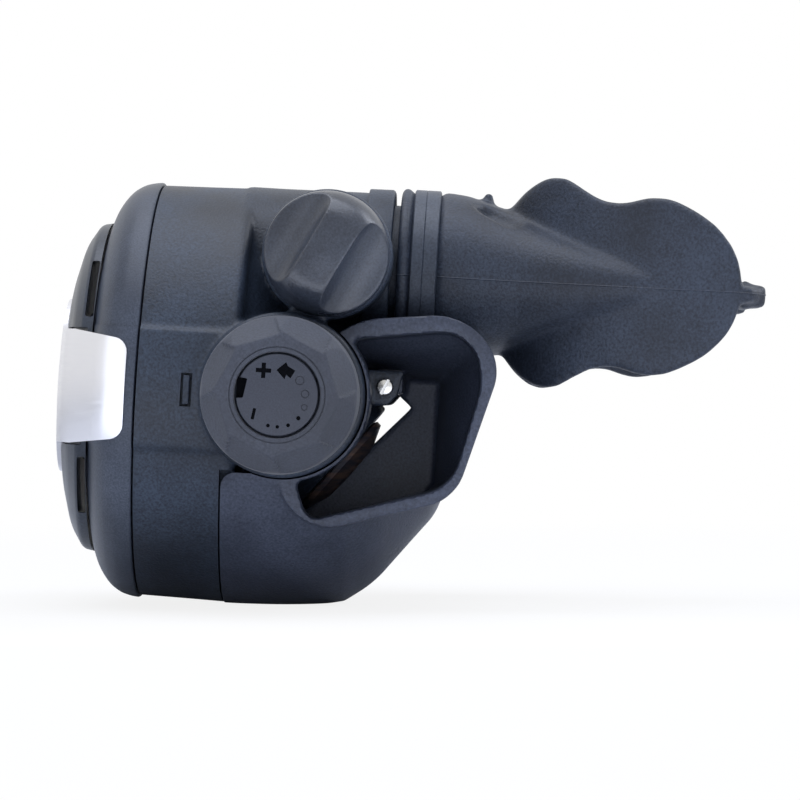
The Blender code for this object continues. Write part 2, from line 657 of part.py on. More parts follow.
def tee_saddle(name, spare):
    """The room that the mouth tube takes above the tee, and the scoop between its two horns."""
    tube = loft(name + "_tube", [mouth_ring(-20, 18.7 + spare, 15.3 + spare),
                                 mouth_ring(50, 18.7 + spare, 15.3 + spare)])
    scoop = turned(name + "_scoop", [(0, -30), (30 + spare, -30), (30 + spare, 30), (0, 30)],
                   at=(57, 0, 0), turn=PLAN, steps=64)
    return tube, scoop


def exhaust_tee():
    """The tee carries the chamber's round belly on, and leads exhaled air out to both sides."""
    tee = tee_tube("exhaust_tee", False, TEE_END, 0.7, TEE)
    belly = turned("tee_belly", [(0, -9.2), (35.3, -9.2), (35.3, 5, 8), (33.8, 11, 6), (30.4, 15.8, 6),
                                 (24.5, 20.4, 6), (17, 26.4, 5), (0, 27.5)],
                   at=(0, 0, CHAMBER_Z), turn=ALONG_X, steps=40)
    keep(belly, prism("tee_belly_half", rounded([(-9.2, -45), (-9.2, -12.9, 2.4), (40, -12.9), (40, -45)]),
                      -45, 45))
    tube, scoop = tee_saddle("tee_outer", 0)
    join(tee, belly)
    cut(tee, tube, scoop)

    room = tee_tube("tee_inner", True, TEE_END + 5)
    low_room = turned("tee_belly_inner", [(0, -12), (33.2, -12), (33.2, 4.4, 8), (31.8, 10, 6), (28.6, 14.4, 6),
                                          (23, 18.6, 5), (15.6, 24.2, 4), (0, 25.3)],
                      at=(0, 0, CHAMBER_Z), turn=ALONG_X, steps=40)
    keep(low_room, block("tee_inner_half", (-20, -45, -45), (40, 45, -11.5)))
    join(room, low_room)
    inner_tube, inner_scoop = tee_saddle("tee_inner_saddle", 2.0)
    divider = prism("tee_divider", [(20.4, -0.9), (18.1, 1.0), (18.1, 12), (36, 12), (36, -40), (2, -40),
                                    (2, -20.7)], -1.2, 1.2)
    posts = [prism("tee_post" + side, [(13.9, 1.3), (18.2, 1.3), (18.2, 14), (13.9, 14)], low, low + 4)
             for side, low in (("_left", 14.5), ("_right", -18.5))]
    cut(room, inner_tube, inner_scoop, divider, *posts)

    for_boss = turned("tee_boss_room", [(0, -45), (BOSS_R + GAP, -45), (BOSS_R + GAP, -19.6), (12.95, -19),
                                        (12.95, 19), (BOSS_R + GAP, 19.6), (BOSS_R + GAP, 45), (0, 45)], steps=32)
    for_port = port_rod("tee_port_room", 12.6, 0, PORT_FACE + GAP, steps=24)
    screw_holes = turned("tee_screw_holes", [(0, -30), (0.75, -30), (0.75, 30), (0, 30)],
                         at=(16.07, 0, 2.3), steps=16)
    lug_rooms = [prism("tee_lug_room" + side, [(8, 5.4), (19.6, 5.4), (18.8, 1), (16.9, -1.2), (8, -1.2)],
                       low, low + 2.2) for side, low in (("_left", 18.5), ("_right", -20.7))]
    foot = block("tee_foot_plane", (-60, -60, -45), (60, 60, -35.2), turn=(0, -REST_TILT, 0))
    foot.location = metres((40.1 * math.sin(REST_TILT), 0, -40.1 * math.cos(REST_TILT)))
    return cut(tee, room, for_boss, for_port, screw_holes, *lug_rooms, foot)


def tee_screw(side, sign):
    """A slotted screw through the case's lug into the tee's post."""
    screw = turned("tee_screw_" + side, [(0, 0), (0.45, 0), (0.45, 6.0), (0, 6.2)], look=STEEL, steps=16,
                   at=(16.07, sign * 14.6, 2.3), turn=ALONG_Y if sign > 0 else (math.pi / 2, 0, 0))
    head = turned("tee_screw_head_" + side, [(0, 6.1), (1.35, 6.1), (1.35, 6.9, 0.3), (0, 7.1)], steps=16,
                  at=(16.07, sign * 14.6, 2.3), turn=ALONG_Y if sign > 0 else (math.pi / 2, 0, 0))
    slot = block("tee_screw_slot_" + side, (-0.2, 21.35, -2), (0.2, 23, 2), turn=(0, math.radians(25), 0))
    slot.location = metres((16.07, sign * 22.05, 2.3))
    join(screw, head)
    return cut(screw, slot)


# ---------------------------------------------------------------- mouthpiece

ARCH_FRONT, ARCH_DEPTH, ARCH_HALF = 34.0, 43.0, 29.0


def arch(inset=0.0, back=80.0, count=9):
    """The dental arch from above: x rises from its front as a power of y."""
    half, front = ARCH_HALF - inset, ARCH_FRONT + inset
    side = []
    for i in range(count):
        y = i / (count - 1) * half * ((back - front) / ARCH_DEPTH) ** (1 / 2.2)
        side.append((front + ARCH_DEPTH * (y / half) ** 2.2, y))
    return [(x, -y) for x, y in reversed(side[1:])] + side


def mouthpiece():
    """The soft mouthpiece: an oval sleeve that flares into a U-shaped flange with a bite tab in each side."""
    sleeve = [(16.7, 17.9, 14.5), (17.3, 18.3, 14.95), (18.3, 18.3, 14.95), (18.75, 17.05, 13.7),
              (23.65, 17.05, 13.7), (23.95, 17.9, 14.6), (28, 17.8, 14.2), (32, 17.9, 13.0), (37, 18.4, 11.6),
              (44, 20.2, 9.8), (53, 22.6, 6.4), (58.5, 24.0, 3.7), (63.5, 25.6, 1.2)]
    body = loft("mouthpiece", [mouth_ring(*ring) for ring in sleeve], MOUTH)
    half = [(31.8, 9.6), (34.2, 12.6), (37.0, 15.9), (41, 17.4), (45.6, 14.9), (51, 13.4), (58, 15.0),
            (64.2, 12.8), (69.9, 9.4), (73.4, 5.2), (74.6, 1.8)]
    outline = smooth(half + [(x, -z) for x, z in reversed(half)])
    flange = prism("mouth_flange", arch(), 0, 45, turn=PLAN)
    keep(flange, prism("mouth_flange_outline", outline, -40, 40, at=(0, 0, MOUTH_Z)))
    mouth = prism("mouth_room", arch(2.3, back=90), -5, 50, turn=PLAN)
    tabs = []
    for side, sign in (("left", -1), ("right", 1)):
        plan = rounded([(48, 9.5, 1.5), (62, 11, 4), (76.6, 14.6, 1.5), (77.2, 17, 1), (76.6, 24.6, 1.5),
                        (74.6, 27.2), (64, 24.0), (54, 20.0), (47, 16.5)])
        tab = prism("bite_tab_" + side, [(x, sign * y) for x, y, *_ in plan], MOUTH_Z - 1.9, MOUTH_Z + 0.7, turn=PLAN)
        grip = block("bite_grip_" + side, (75.2, 15.5 if sign > 0 else -24, MOUTH_Z - 2.7),
                     (76.8, 24 if sign > 0 else -15.5, MOUTH_Z + 1.4), round_off=0.4)
        tabs += [tab, grip]
    socket = loft("mouth_socket", [mouth_ring(15, 15.5, 12.2), mouth_ring(24.9, 15.5, 12.2)])
    bore = loft("mouth_bore", [mouth_ring(20, 13.2, 9.9), mouth_ring(47, 13.2, 8.4)])
    join(body, flange)
    cut(body, mouth)
    join(body, *tabs)
    return cut(body, socket, bore)


def mouthpiece_clamp():
    """The band round the mouthpiece's groove, with its catch on the far side."""
    band = loft("mouthpiece_clamp", [mouth_ring(18.95, 17.9, 14.55), mouth_ring(19.15, 18.1, 14.75),
                                     mouth_ring(23.2, 18.1, 14.75), mouth_ring(23.4, 17.9, 14.55)], BAND)
    catch = block("clamp_catch", (19.3, 16.5, 17.0), (23.0, 20.0, 25.6), round_off=0.5)
    hole = loft("clamp_hole", [mouth_ring(17, 17.35, 14.0), mouth_ring(25, 17.35, 14.0)])
    join(band, catch)
    return cut(band, hole)


# ---------------------------------------------------------------- build

case_housing()
cover_lock()
front_cover()
cover_bezel()
trim_plate()
purge_button()
purge_spring()
clamp_ring()
diaphragm()
diaphragm_plate()
valve_barrel()
barrel_nut()
inlet_fitting()
orifice()
seal("orifice_ring", 4.0, 1.2, 24.0)
poppet()
poppet_seat()
poppet_nut()
lever()
lever_pin()
valve_spring()
spring_pusher()
adjusting_spindle()
seal("spindle_ring", 5.15, 0.9, -32.05)
packing_nut()
adjusting_knob()
knob_insert()
knob_screw()
venturi_knob()
venturi_vane()
seal("vane_ring", 2.7, 0.7, -27.1, VENTURI_X, VENTURI_Z)
exhaust_valve()
exhaust_tee()
tee_screw("left", -1)
tee_screw("right", 1)
mouthpiece()
mouthpiece_clamp()


def stand_on_origin():
    """Moves the whole part so that the middle of its underside is the world's origin."""
    bpy.context.view_layer.update()
    graph = bpy.context.evaluated_depsgraph_get()
    corners = []
    for thing in parts.objects:
        if thing.type == "MESH":
            shape = thing.evaluated_get(graph)
            corners += [shape.matrix_world @ v.co for v in shape.data.vertices]
    low = Vector(min(c[i] for c in corners) for i in range(3))
    high = Vector(max(c[i] for c in corners) for i in range(3))
    stand.location = (-(low.x + high.x) / 2, -(low.y + high.y) / 2, -low.z)


stand_on_origin()
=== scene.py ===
"""The second stage of a scuba diving regulator: the demand valve that a diver holds between the teeth.

Sizes are millimetres in the frame of the case: X runs along the axis of the round demand chamber towards the
mouth, Y along the valve barrel from the effort knob to the hose inlet, and Z up.
"""
import json
import math

import bmesh
import bpy
from mathutils import Matrix, Vector


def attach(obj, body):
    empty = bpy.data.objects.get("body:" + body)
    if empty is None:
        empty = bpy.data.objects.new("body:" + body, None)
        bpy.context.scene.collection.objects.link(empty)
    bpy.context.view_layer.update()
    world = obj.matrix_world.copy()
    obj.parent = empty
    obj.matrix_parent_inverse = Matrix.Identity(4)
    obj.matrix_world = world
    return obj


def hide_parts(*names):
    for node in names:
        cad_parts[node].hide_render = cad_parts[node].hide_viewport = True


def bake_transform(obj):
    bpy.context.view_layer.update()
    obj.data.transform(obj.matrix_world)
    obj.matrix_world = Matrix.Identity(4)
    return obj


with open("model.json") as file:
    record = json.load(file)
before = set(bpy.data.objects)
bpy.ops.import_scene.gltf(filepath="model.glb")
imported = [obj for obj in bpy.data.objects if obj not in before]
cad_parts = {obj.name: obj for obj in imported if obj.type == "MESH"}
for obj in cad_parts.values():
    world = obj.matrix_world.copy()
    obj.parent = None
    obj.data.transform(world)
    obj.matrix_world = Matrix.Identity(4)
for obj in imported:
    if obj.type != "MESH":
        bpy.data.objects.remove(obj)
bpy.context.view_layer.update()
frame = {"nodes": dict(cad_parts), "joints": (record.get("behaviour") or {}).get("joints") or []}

# ---------------------------------------------------------------- case
# One injection moulding of glass-filled nylon: the round chamber, the tube that the valve barrel crosses,
# the boss for the venturi knob, and the oval neck for the mouthpiece. Its skin has a fine spark-eroded
# grain, and every inside corner has a small fillet so that the plastic flows.

REST_TILT = math.radians(3.4)
turn_joint = next(j for j in frame["joints"] if j["name"] == "knob_turn")
case_centre = Vector(turn_joint["pos_m"]) + Vector((0, 0.044, 0))
TO_WORLD = Matrix.Translation(case_centre) @ Matrix.Rotation(REST_TILT, 4, "Y") @ Matrix.Scale(0.001, 4)

CHAMBER_Z, CHAMBER_R = -0.5, 35.2
SEAM_X, REAR_X = -23.4, -7.2
BOSS_R, BOSS_END = 13.3, 36.6
BARREL_R = 8.2
MOUTH_Z, COLLAR_X = 21.3, 15.65
VENTURI_X, VENTURI_Z = 5.74, 23.1
PORT_TURN, PORT_FACE, PORT_SHIFT = math.radians(128.7), 13.4, -3.2

ALONG_X = Matrix.Rotation(math.pi / 2, 4, "Y")
ALONG_Y = Matrix.Rotation(-math.pi / 2, 4, "X")
ALONG_PORT = Matrix.Rotation(PORT_TURN, 4, "Y")
PLAN = Matrix.Identity(4)
SIDE = Matrix.Rotation(math.pi / 2, 4, "X")
FRONT = Matrix.Rotation(math.pi / 2, 4, "Z") @ Matrix.Rotation(math.pi / 2, 4, "X")


def moved(shape, turn=PLAN, at=(0, 0, 0)):
    bmesh.ops.transform(shape, matrix=Matrix.Translation(at) @ turn, verts=shape.verts)
    return shape


def outlined(corners, upright=False, segments=5):
    """A closed wire outline. A corner (a, b, r) is rounded from r before it to r after it."""
    shape = bmesh.new()
    ring = [shape.verts.new((c[0], 0, c[1]) if upright else (c[0], c[1], 0)) for c in corners]
    for a, b in zip(ring, ring[1:] + ring[:1]):
        shape.edges.new((a, b))
    for vert, corner in zip(ring, corners):
        if len(corner) == 3:
            bmesh.ops.bevel(shape, geom=[vert], offset=corner[2], affect="VERTICES", segments=segments,
                            profile=0.5, material=-1, clamp_overlap=True)
    return shape


def turned(corners, turn=ALONG_Y, at=(0, 0, 0), steps=128):
    """A lathe shape from an outline of (radius, height) corners, turned about Z and then placed."""
    shape = outlined(corners, upright=True)
    on_axis = [e for e in shape.edges if all(v.co.x < 1e-6 for v in e.verts)]
    bmesh.ops.delete(shape, geom=on_axis, context="EDGES")
    bmesh.ops.spin(shape, geom=shape.verts[:] + shape.edges[:], cent=(0, 0, 0), axis=(0, 0, 1), dvec=(0, 0, 0),
                   angle=math.tau, steps=steps, use_merge=True, use_duplicate=False)
    bmesh.ops.remove_doubles(shape, verts=shape.verts, dist=0.001)
    bmesh.ops.recalc_face_normals(shape, faces=shape.faces)
    return moved(shape, turn, at)


def prism(corners, low, high, turn=SIDE, at=(0, 0, 0)):
    """An outline pushed from low to high."""
    shape = outlined(corners)
    sheet = bmesh.ops.contextual_create(shape, geom=shape.edges)["faces"]
    pushed = bmesh.ops.extrude_face_region(shape, geom=sheet)["geom"]
    bmesh.ops.translate(shape, verts=shape.verts, vec=(0, 0, low))
    bmesh.ops.translate(shape, verts=[v for v in pushed if isinstance(v, bmesh.types.BMVert)],
                        vec=(0, 0, high - low))
    bmesh.ops.recalc_face_normals(shape, faces=shape.faces)
    return moved(shape, turn, at)


def block(low, high, turn=PLAN, at=(0, 0, 0), round_off=0.0):
    """A box between two corners."""
    shape = bmesh.new()
    bmesh.ops.create_cube(shape, size=1)
    bmesh.ops.scale(shape, vec=[b - a for a, b in zip(low, high)], verts=shape.verts)
    bmesh.ops.translate(shape, vec=[(a + b) / 2 for a, b in zip(low, high)], verts=shape.verts)
    if round_off:
        bmesh.ops.bevel(shape, geom=shape.edges, offset=round_off, affect="EDGES", segments=4, profile=0.5,
                        material=-1, clamp_overlap=True)
    return moved(shape, turn, at)


def oval_sleeve(stations, steps=96, power=2.3, along=None):
    """A skin through fuller-than-round ovals at (x, half width, half height), capped at both ends."""
    shape = bmesh.new()
    loops = []
    for i, (x, wide, high) in enumerate(stations):
        ring = bmesh.ops.create_circle(shape, cap_ends=i in (0, len(stations) - 1), segments=steps, radius=1)
        for vert in ring["verts"]:
            fuller = [math.copysign(abs(c) ** (2 / power), c) for c in vert.co.xy]
            vert.co = (x, wide * fuller[0], MOUTH_Z + high * fuller[1])
        loops.append(set(e for v in ring["verts"] for e in v.link_edges))
    for a, b in zip(loops, loops[1:]):
        bmesh.ops.bridge_loops(shape, edges=list(a | b))
    bmesh.ops.recalc_face_normals(shape, faces=shape.faces)
    return shape


def bench(shape):
    """A shape as an object of its own, for the modifiers."""
    mesh = bpy.data.meshes.new("bench")
    shape.to_mesh(mesh)
    shape.free()
    thing = bpy.data.objects.new("bench", mesh)
    bpy.context.scene.collection.objects.link(thing)
    return thing


def off_the_bench(thing, *others):
    """The shape that an object's modifiers give."""
    bpy.context.view_layer.update()
    mesh = bpy.data.meshes.new_from_object(thing.evaluated_get(bpy.context.evaluated_depsgraph_get()))
    shape = bmesh.new()
    shape.from_mesh(mesh)
    bpy.data.meshes.remove(mesh)
    for spent in (thing, *others):
        old = spent.data
        bpy.data.objects.remove(spent)
        bpy.data.meshes.remove(old)
    return shape


def combined(shape, others, operation):
    thing = bench(shape)
    tools = [bench(other) for other in others]
    for tool in tools:
        step = thing.modifiers.new("step", "BOOLEAN")
        step.operation = operation
        step.solver = "EXACT"
        step.object = tool
    return off_the_bench(thing, *tools)


def joined(shape, *others):
    return combined(shape, others, "UNION")


def carved(shape, *others):
    return combined(shape, others, "DIFFERENCE")


def common(shape, other):
    return combined(shape, [other], "INTERSECT")


def moulded(shape, cell, passes):
    """The shape as it leaves a mould: even skin, with every edge and corner eased."""
    thing = bench(shape)
    skin = thing.modifiers.new("skin", "REMESH")
    skin.mode = "VOXEL"
    skin.voxel_size = cell
    shape = off_the_bench(thing)
    for _ in range(passes):
        bmesh.ops.smooth_vert(shape, verts=shape.verts, factor=0.5, use_axis_x=True, use_axis_y=True,
                              use_axis_z=True)
    return shape


def piece(name, shape, look, body, *nodes, crease=38):
    """A finished piece, placed in the world, shaded smooth up to the crease angle. A body of None leaves it free."""
    bmesh.ops.transform(shape, matrix=TO_WORLD, verts=shape.verts)
    for face in shape.faces:
        face.smooth = True
    for edge in shape.edges:
        edge.smooth = len(edge.link_faces) == 2 and edge.calc_face_angle() < math.radians(crease)
    mesh = bpy.data.meshes.new(name)
    shape.to_mesh(mesh)
    shape.free()
    mesh.materials.append(look)
    made = bpy.data.objects.new(name, mesh)
    bpy.context.scene.collection.objects.link(made)
    if body:
        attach(made, body)
    if nodes:
        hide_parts(*nodes)
    return made


def colour(code):
    """An sRGB hex colour as linear red, green, blue and alpha."""
    parts = [int(code[i:i + 2], 16) / 255 for i in (1, 3, 5)]
    return [c / 12.92 if c <= 0.04045 else ((c + 0.055) / 1.055) ** 2.4 for c in parts] + [1.0]


def material(name):
    look = bpy.data.materials.new(name)
    look.use_nodes = True
    look.node_tree.nodes.clear()
    return look


def node(look, kind, inputs=None, **settings):
    """Adds a node: settings go on the node, and each input takes a value or another node's output."""
    made = look.node_tree.nodes.new(kind)
    for name, value in settings.items():
        setattr(made, name, value)
    for name, value in (inputs or {}).items():
        if isinstance(value, bpy.types.NodeSocket):
            look.node_tree.links.new(value, made.inputs[name])
        else:
            made.inputs[name].default_value = value
    return made


def grained_plastic(name, dark, light, roughness, grain_mm, grain_depth, sheen=0.0, gloss=0.32):
    """Moulded plastic with a spark-eroded skin: a fine pebble in the surface and faint cloudiness in the colour."""
    look = material(name)
    place = node(look, "ShaderNodeTexCoord").outputs["Object"]
    pebble = node(look, "ShaderNodeTexNoise", {"Vector": place, "Scale": 1000 / grain_mm, "Detail": 2.0,
                                               "Roughness": 0.55})
    cloud = node(look, "ShaderNodeTexNoise", {"Vector": place, "Scale": 1000 / 14.0, "Detail": 3.0})
    speckle = node(look, "ShaderNodeMath", {0: pebble.outputs["Fac"], 1: cloud.outputs["Fac"]},
                   operation="MULTIPLY")
    tint = node(look, "ShaderNodeValToRGB", {"Fac": speckle.outputs["Value"]})
    tint.color_ramp.elements[0].position = 0.14
    tint.color_ramp.elements[0].color = colour(dark)
    tint.color_ramp.elements[1].position = 0.42
    tint.color_ramp.elements[1].color = colour(light)
    worn = node(look, "ShaderNodeMapRange", {"Value": cloud.outputs["Fac"], "From Min": 0.3, "From Max": 0.7,
                                             "To Min": roughness - 0.05, "To Max": roughness + 0.05})
    bump = node(look, "ShaderNodeBump", {"Height": pebble.outputs["Fac"], "Strength": grain_depth,
                                         "Distance": 0.0001})
    skin = node(look, "ShaderNodeBsdfPrincipled", {"Base Color": tint.outputs["Color"],
                                                   "Roughness": worn.outputs["Result"],
                                                   "Normal": bump.outputs["Normal"], "IOR": 1.5,
                                                   "Specular IOR Level": gloss,
                                                   "Sheen Weight": sheen, "Sheen Roughness": 0.4})
    node(look, "ShaderNodeOutputMaterial", {"Surface": skin.outputs["BSDF"]})
    return look


# Glass-filled nylon, black: matt, a little blue in the light, with a pebble of about 0.5 mm
case_nylon = grained_plastic("moulded_nylon_black", "#181e28", "#343e4d", 0.47, 0.42, 0.8)


def port_rod(radius, low, high, across=0.0, beside=0.0, steps=64):
    """A rod square to the exhaust port's face."""
    s, c = math.sin(PORT_TURN), math.cos(PORT_TURN)
    up = PORT_SHIFT + across
    return turned([(0, low), (radius, low), (radius, high), (0, high)], ALONG_PORT, (-up * c, beside, up * s),
                  steps)


drum = turned([(0, REAR_X), (CHAMBER_R, REAR_X, 1.6), (CHAMBER_R - 0.2, -15), (CHAMBER_R - 0.4, SEAM_X - 1),
               (0, SEAM_X - 1)], ALONG_X, (0, 0, CHAMBER_Z))
side_band = common(turned([(0, -8.2), (CHAMBER_R + 0.5, -8.2, 0.8), (CHAMBER_R + 0.4, SEAM_X - 1),
                           (0, SEAM_X - 1)], ALONG_X, (0, 0, CHAMBER_Z)),
                   block((-30, -45, -9.7), (0, 45, 9.6)))
cross_tube = turned([(0, -BOSS_END), (BOSS_R, -BOSS_END, 0.7), (BOSS_R, -20), (12.6, -19.3), (12.6, 19.3),
                     (BOSS_R, 20), (BOSS_R, BOSS_END, 0.7), (0, BOSS_END)])
neck = oval_sleeve([(-9, 20.6, 13.6), (-3, 19.3, 13.6), (4, 18.2, 13.7), (11.6, 17.6, 13.8)])
venturi_boss = turned([(0, -31.5), (10.6, -31.5, 0.9), (10.4, -10), (0, -10)], at=(VENTURI_X, 0, VENTURI_Z))
shoulder = common(turned([(0, -12), (34.6, -12), (34.6, REAR_X - 1), (31, REAR_X + 0.6), (24, 1), (0, 1)], ALONG_X, (0, 0, CHAMBER_Z)),
                  block((-12, -45, 9.6), (5, 45, 45)))
lugs = [prism([(9, 5), (19.2, 5, 0.5), (18.5, 2.8), (18.4, 1.35), (16.6, -0.85, 0.5), (9, -0.85)], low, low + 1.6)
        for low in (18.8, -20.4)]
case = joined(drum, side_band, shoulder, cross_tube, neck, venturi_boss, port_rod(12.2, 0, PORT_FACE), *lugs)
case = moulded(case, 0.45, 2)
collar = oval_sleeve([(9, 17.2, 13.5), (11.2, 17.6, 13.8), (11.25, 18.0, 14.3), (11.4, 18.1, 14.45),
                      (15.2, 18.1, 14.5), (15.5, 17.9, 14.3), (COLLAR_X, 17.6, 14.0), (COLLAR_X + 0.01, 15.2, 11.9),
                      (24.4, 15.2, 11.9)], steps=128)
case = joined(case, collar)
chamber = turned([(0, -25), (32.5, -25), (32.5, -19), (29.4, -19), (29.4, -17.4), (32.6, -16), (32.6, -9.4, 3),
                  (0, -9.4)], ALONG_X, (0, 0, CHAMBER_Z))
tee_rebate = common(turned([(32.9, -9.5), (40, -9.5), (40, -5.5), (32.9, -5.5)], ALONG_X, (0, 0, CHAMBER_Z)),
                    block((-20, -45, -45), (20, 45, -12.6)))
ring = [(5.3 * math.cos(i * math.pi / 3), 5.3 * math.sin(i * math.pi / 3)) for i in range(6)]
case = carved(case, chamber, turned([(0, -19), (10.6, -19), (10.6, 19), (0, 19)]),
              turned([(0, -50), (BARREL_R + 0.3, -50), (BARREL_R + 0.3, 50), (0, 50)]),
              oval_sleeve([(-12, 16.5, 11.8), (10, 15.2, 11.6), (26, 13.7, 10.4)]),
              turned([(0, -40), (3.2, -40), (3.2, -8), (0, -8)], at=(VENTURI_X, 0, VENTURI_Z), steps=48),
              *[port_rod(2.1, 6, 16, a, b, 32) for a, b in ring], port_rod(1.3, 6, 16, steps=32),
              block((-16.3, -40, -2.75), (-14.5, -34, 2.65)), tee_rebate,
              turned([(0, -30), (1.2, -30), (1.2, 30), (0, 30)], at=(16.07, 0, 2.3), steps=32))
bmesh.ops.bisect_plane(case, geom=case.verts[:] + case.edges[:] + case.faces[:], plane_co=(SEAM_X, 0, 0),
                       plane_no=(-1, 0, 0), clear_outer=True)
bmesh.ops.holes_fill(case, edges=[e for e in case.edges if e.is_boundary])
piece("case_shell", case, case_nylon, "case", "case_housing")


def dress(look, *names):
    """Gives a finish to solids whose shape needs nothing more."""
    for name in names:
        for slot in frame["nodes"][name].material_slots:
            slot.material = look


dress(case_nylon, "cover_lock")

# ---------------------------------------------------------------- valve
# The working parts inside the barrel. The barrel, spindle, orifice and nuts are brass turned on a lathe and
# chrome plated; the lever, its pin and the springs are stainless steel; the poppet and pusher are acetal.

chrome = material("bright_chrome_on_brass")
place = node(chrome, "ShaderNodeTexCoord").outputs["Object"]
turning = node(chrome, "ShaderNodeTexWave", {"Vector": place, "Scale": 1000 / 0.6, "Distortion": 0.4,
                                             "Detail": 1.0}, bands_direction="Y")
handling = node(chrome, "ShaderNodeTexNoise", {"Vector": place, "Scale": 1000 / 5.0, "Detail": 4.0})
shine = node(chrome, "ShaderNodeMapRange", {"Value": handling.outputs["Fac"], "From Min": 0.3, "From Max": 0.7,
                                            "To Min": 0.12, "To Max": 0.24})
lines = node(chrome, "ShaderNodeBump", {"Height": turning.outputs["Fac"], "Strength": 0.05, "Distance": 0.0001})
plate = node(chrome, "ShaderNodeBsdfPrincipled", {"Base Color": colour("#cfd1d4"), "Metallic": 1.0,
                                                  "Roughness": shine.outputs["Result"],
                                                  "Normal": lines.outputs["Normal"]})
node(chrome, "ShaderNodeOutputMaterial", {"Surface": plate.outputs["BSDF"]})

stainless = material("drawn_stainless_steel")
place = node(stainless, "ShaderNodeTexCoord").outputs["Object"]
drawn = node(stainless, "ShaderNodeTexNoise", {"Vector": place, "Scale": 1000 / 0.8, "Detail": 3.0})
shine = node(stainless, "ShaderNodeMapRange", {"Value": drawn.outputs["Fac"], "From Min": 0.3, "From Max": 0.7,
                                               "To Min": 0.2, "To Max": 0.34})
metal = node(stainless, "ShaderNodeBsdfPrincipled", {"Base Color": colour("#c9c8c5"), "Metallic": 1.0,
                                                     "Roughness": shine.outputs["Result"]})
node(stainless, "ShaderNodeOutputMaterial", {"Surface": metal.outputs["BSDF"]})

acetal = grained_plastic("moulded_acetal_white", "#cfcfca", "#e2e2dd", 0.4, 0.4, 0.1)
nitrile = grained_plastic("nitrile_rubber_black", "#121214", "#1c1c1f", 0.6, 0.3, 0.2)

dress(chrome, "valve_barrel", "orifice", "poppet_nut", "adjusting_spindle", "packing_nut")
dress(stainless, "lever", "lever_pin", "knob_screw")
dress(acetal, "poppet", "spring_pusher", "diaphragm_plate", "clamp_ring")
dress(nitrile, "poppet_seat", "orifice_ring", "spindle_ring", "vane_ring")


def coil(radius, wire, low, high, turns, turn, at=(0, 0, 0), lead=0.0):
    """A spring's round wire, wound from low to high, starting at the angle lead."""
    corners = [(radius + wire * math.cos(a), low + wire * math.sin(a)) for a in (i * math.tau / 8 for i in range(8))]
    shape = outlined(corners, upright=True)
    bmesh.ops.contextual_create(shape, geom=shape.edges)
    steps = round(24 * turns)
    bmesh.ops.spin(shape, geom=shape.verts[:] + shape.edges[:] + shape.faces[:], cent=(0, 0, 0), axis=(0, 0, 1),
                   dvec=(0, 0, (high - low) / steps), angle=math.tau * turns, steps=steps, use_duplicate=False)
    bmesh.ops.recalc_face_normals(shape, faces=shape.faces)
    return moved(shape, turn @ Matrix.Rotation(lead, 4, "Z"), at)


def stretched(made):
    """A springy piece, with its placement baked into its mesh; it follows no body."""
    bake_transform(made)


# The valve spring shortens from both ends, so it is wound in two lengths that meet in the middle
SPRING_TURNS = 5.5
knob_side = piece("valve_coil_knob_side", coil(3.6, 0.4, -25.7, -21.3, SPRING_TURNS / 2, ALONG_Y), stainless, None,
                  "valve_spring")
stretched(knob_side)
seat_side = piece("valve_coil_seat_side",
                  coil(3.6, 0.4, -21.3, -16.9, SPRING_TURNS / 2, ALONG_Y, lead=math.tau * SPRING_TURNS / 2), stainless,
                  None, "valve_spring")
stretched(seat_side)

# ---------------------------------------------------------------- barrel nut and inlet
# A slotted ring nut clamps the barrel in the case. The hose screws on the male thread beside the hexagon.
# Both are turned from brass bar and chrome plated.

nut = turned([(BARREL_R + 0.3, 36.95, 0.3), (11.4, 36.95, 0.3), (11.4, 39.6, 0.6), (BARREL_R + 0.3, 39.6, 0.4)])
nut = carved(nut, *[block((-1.2, -1.2, -1.5), (1.2, 1.2, 1.5), ALONG_Y,
                          (11.6 * math.cos(a), 39.7, 11.6 * math.sin(a)), 0.2)
                    for a in (math.pi / 4 + i * math.pi / 2 for i in range(4))])
piece("barrel_nut_ring", nut, chrome, "case", "barrel_nut")

THREAD_PITCH = 1.41
fitting = turned([(2.6, 28), (5.4, 28, 0.4), (5.4, 44.6), (6.3, 45.3), (6.45, 46), (6.45, 51.2), (6.0, 52.2, 0.2),
                  (3.6, 52.2, 0.2), (2.6, 49)])
crown = turned([(0, 40.6), (8.6, 40.6), (9.6, 41.2), (9.6, 44.2), (8.6, 44.8), (0, 44.8)])
hexagon = common(prism([(9.6 * math.cos(i * math.pi / 3), 9.6 * math.sin(i * math.pi / 3)) for i in range(6)],
                       -44.8, -40.6), crown)
bore = turned([(0, 20), (2.6, 20), (2.6, 49), (3.6, 52.3), (0, 52.3)])
thread = outlined([(6.3, -0.6), (7.08, -0.1), (7.08, 0.1), (6.3, 0.6)], upright=True)
bmesh.ops.contextual_create(thread, geom=thread.edges)
STEPS = 48
bmesh.ops.spin(thread, geom=thread.verts[:] + thread.edges[:] + thread.faces[:], cent=(0, 0, 0), axis=(0, 0, 1),
               dvec=(0, 0, THREAD_PITCH / STEPS), angle=math.tau * 3.4, steps=int(STEPS * 3.4), use_duplicate=False)
bmesh.ops.recalc_face_normals(thread, faces=thread.faces)
moved(thread, ALONG_Y, (0, 46.0, 0))
fitting = carved(joined(fitting, hexagon, thread), bore)
piece("hose_inlet", fitting, chrome, "case", "inlet_fitting", crease=30)

# ---------------------------------------------------------------- diaphragm
# The diaphragm is thin clear-grey silicone with one deep fold, so that it moves freely.

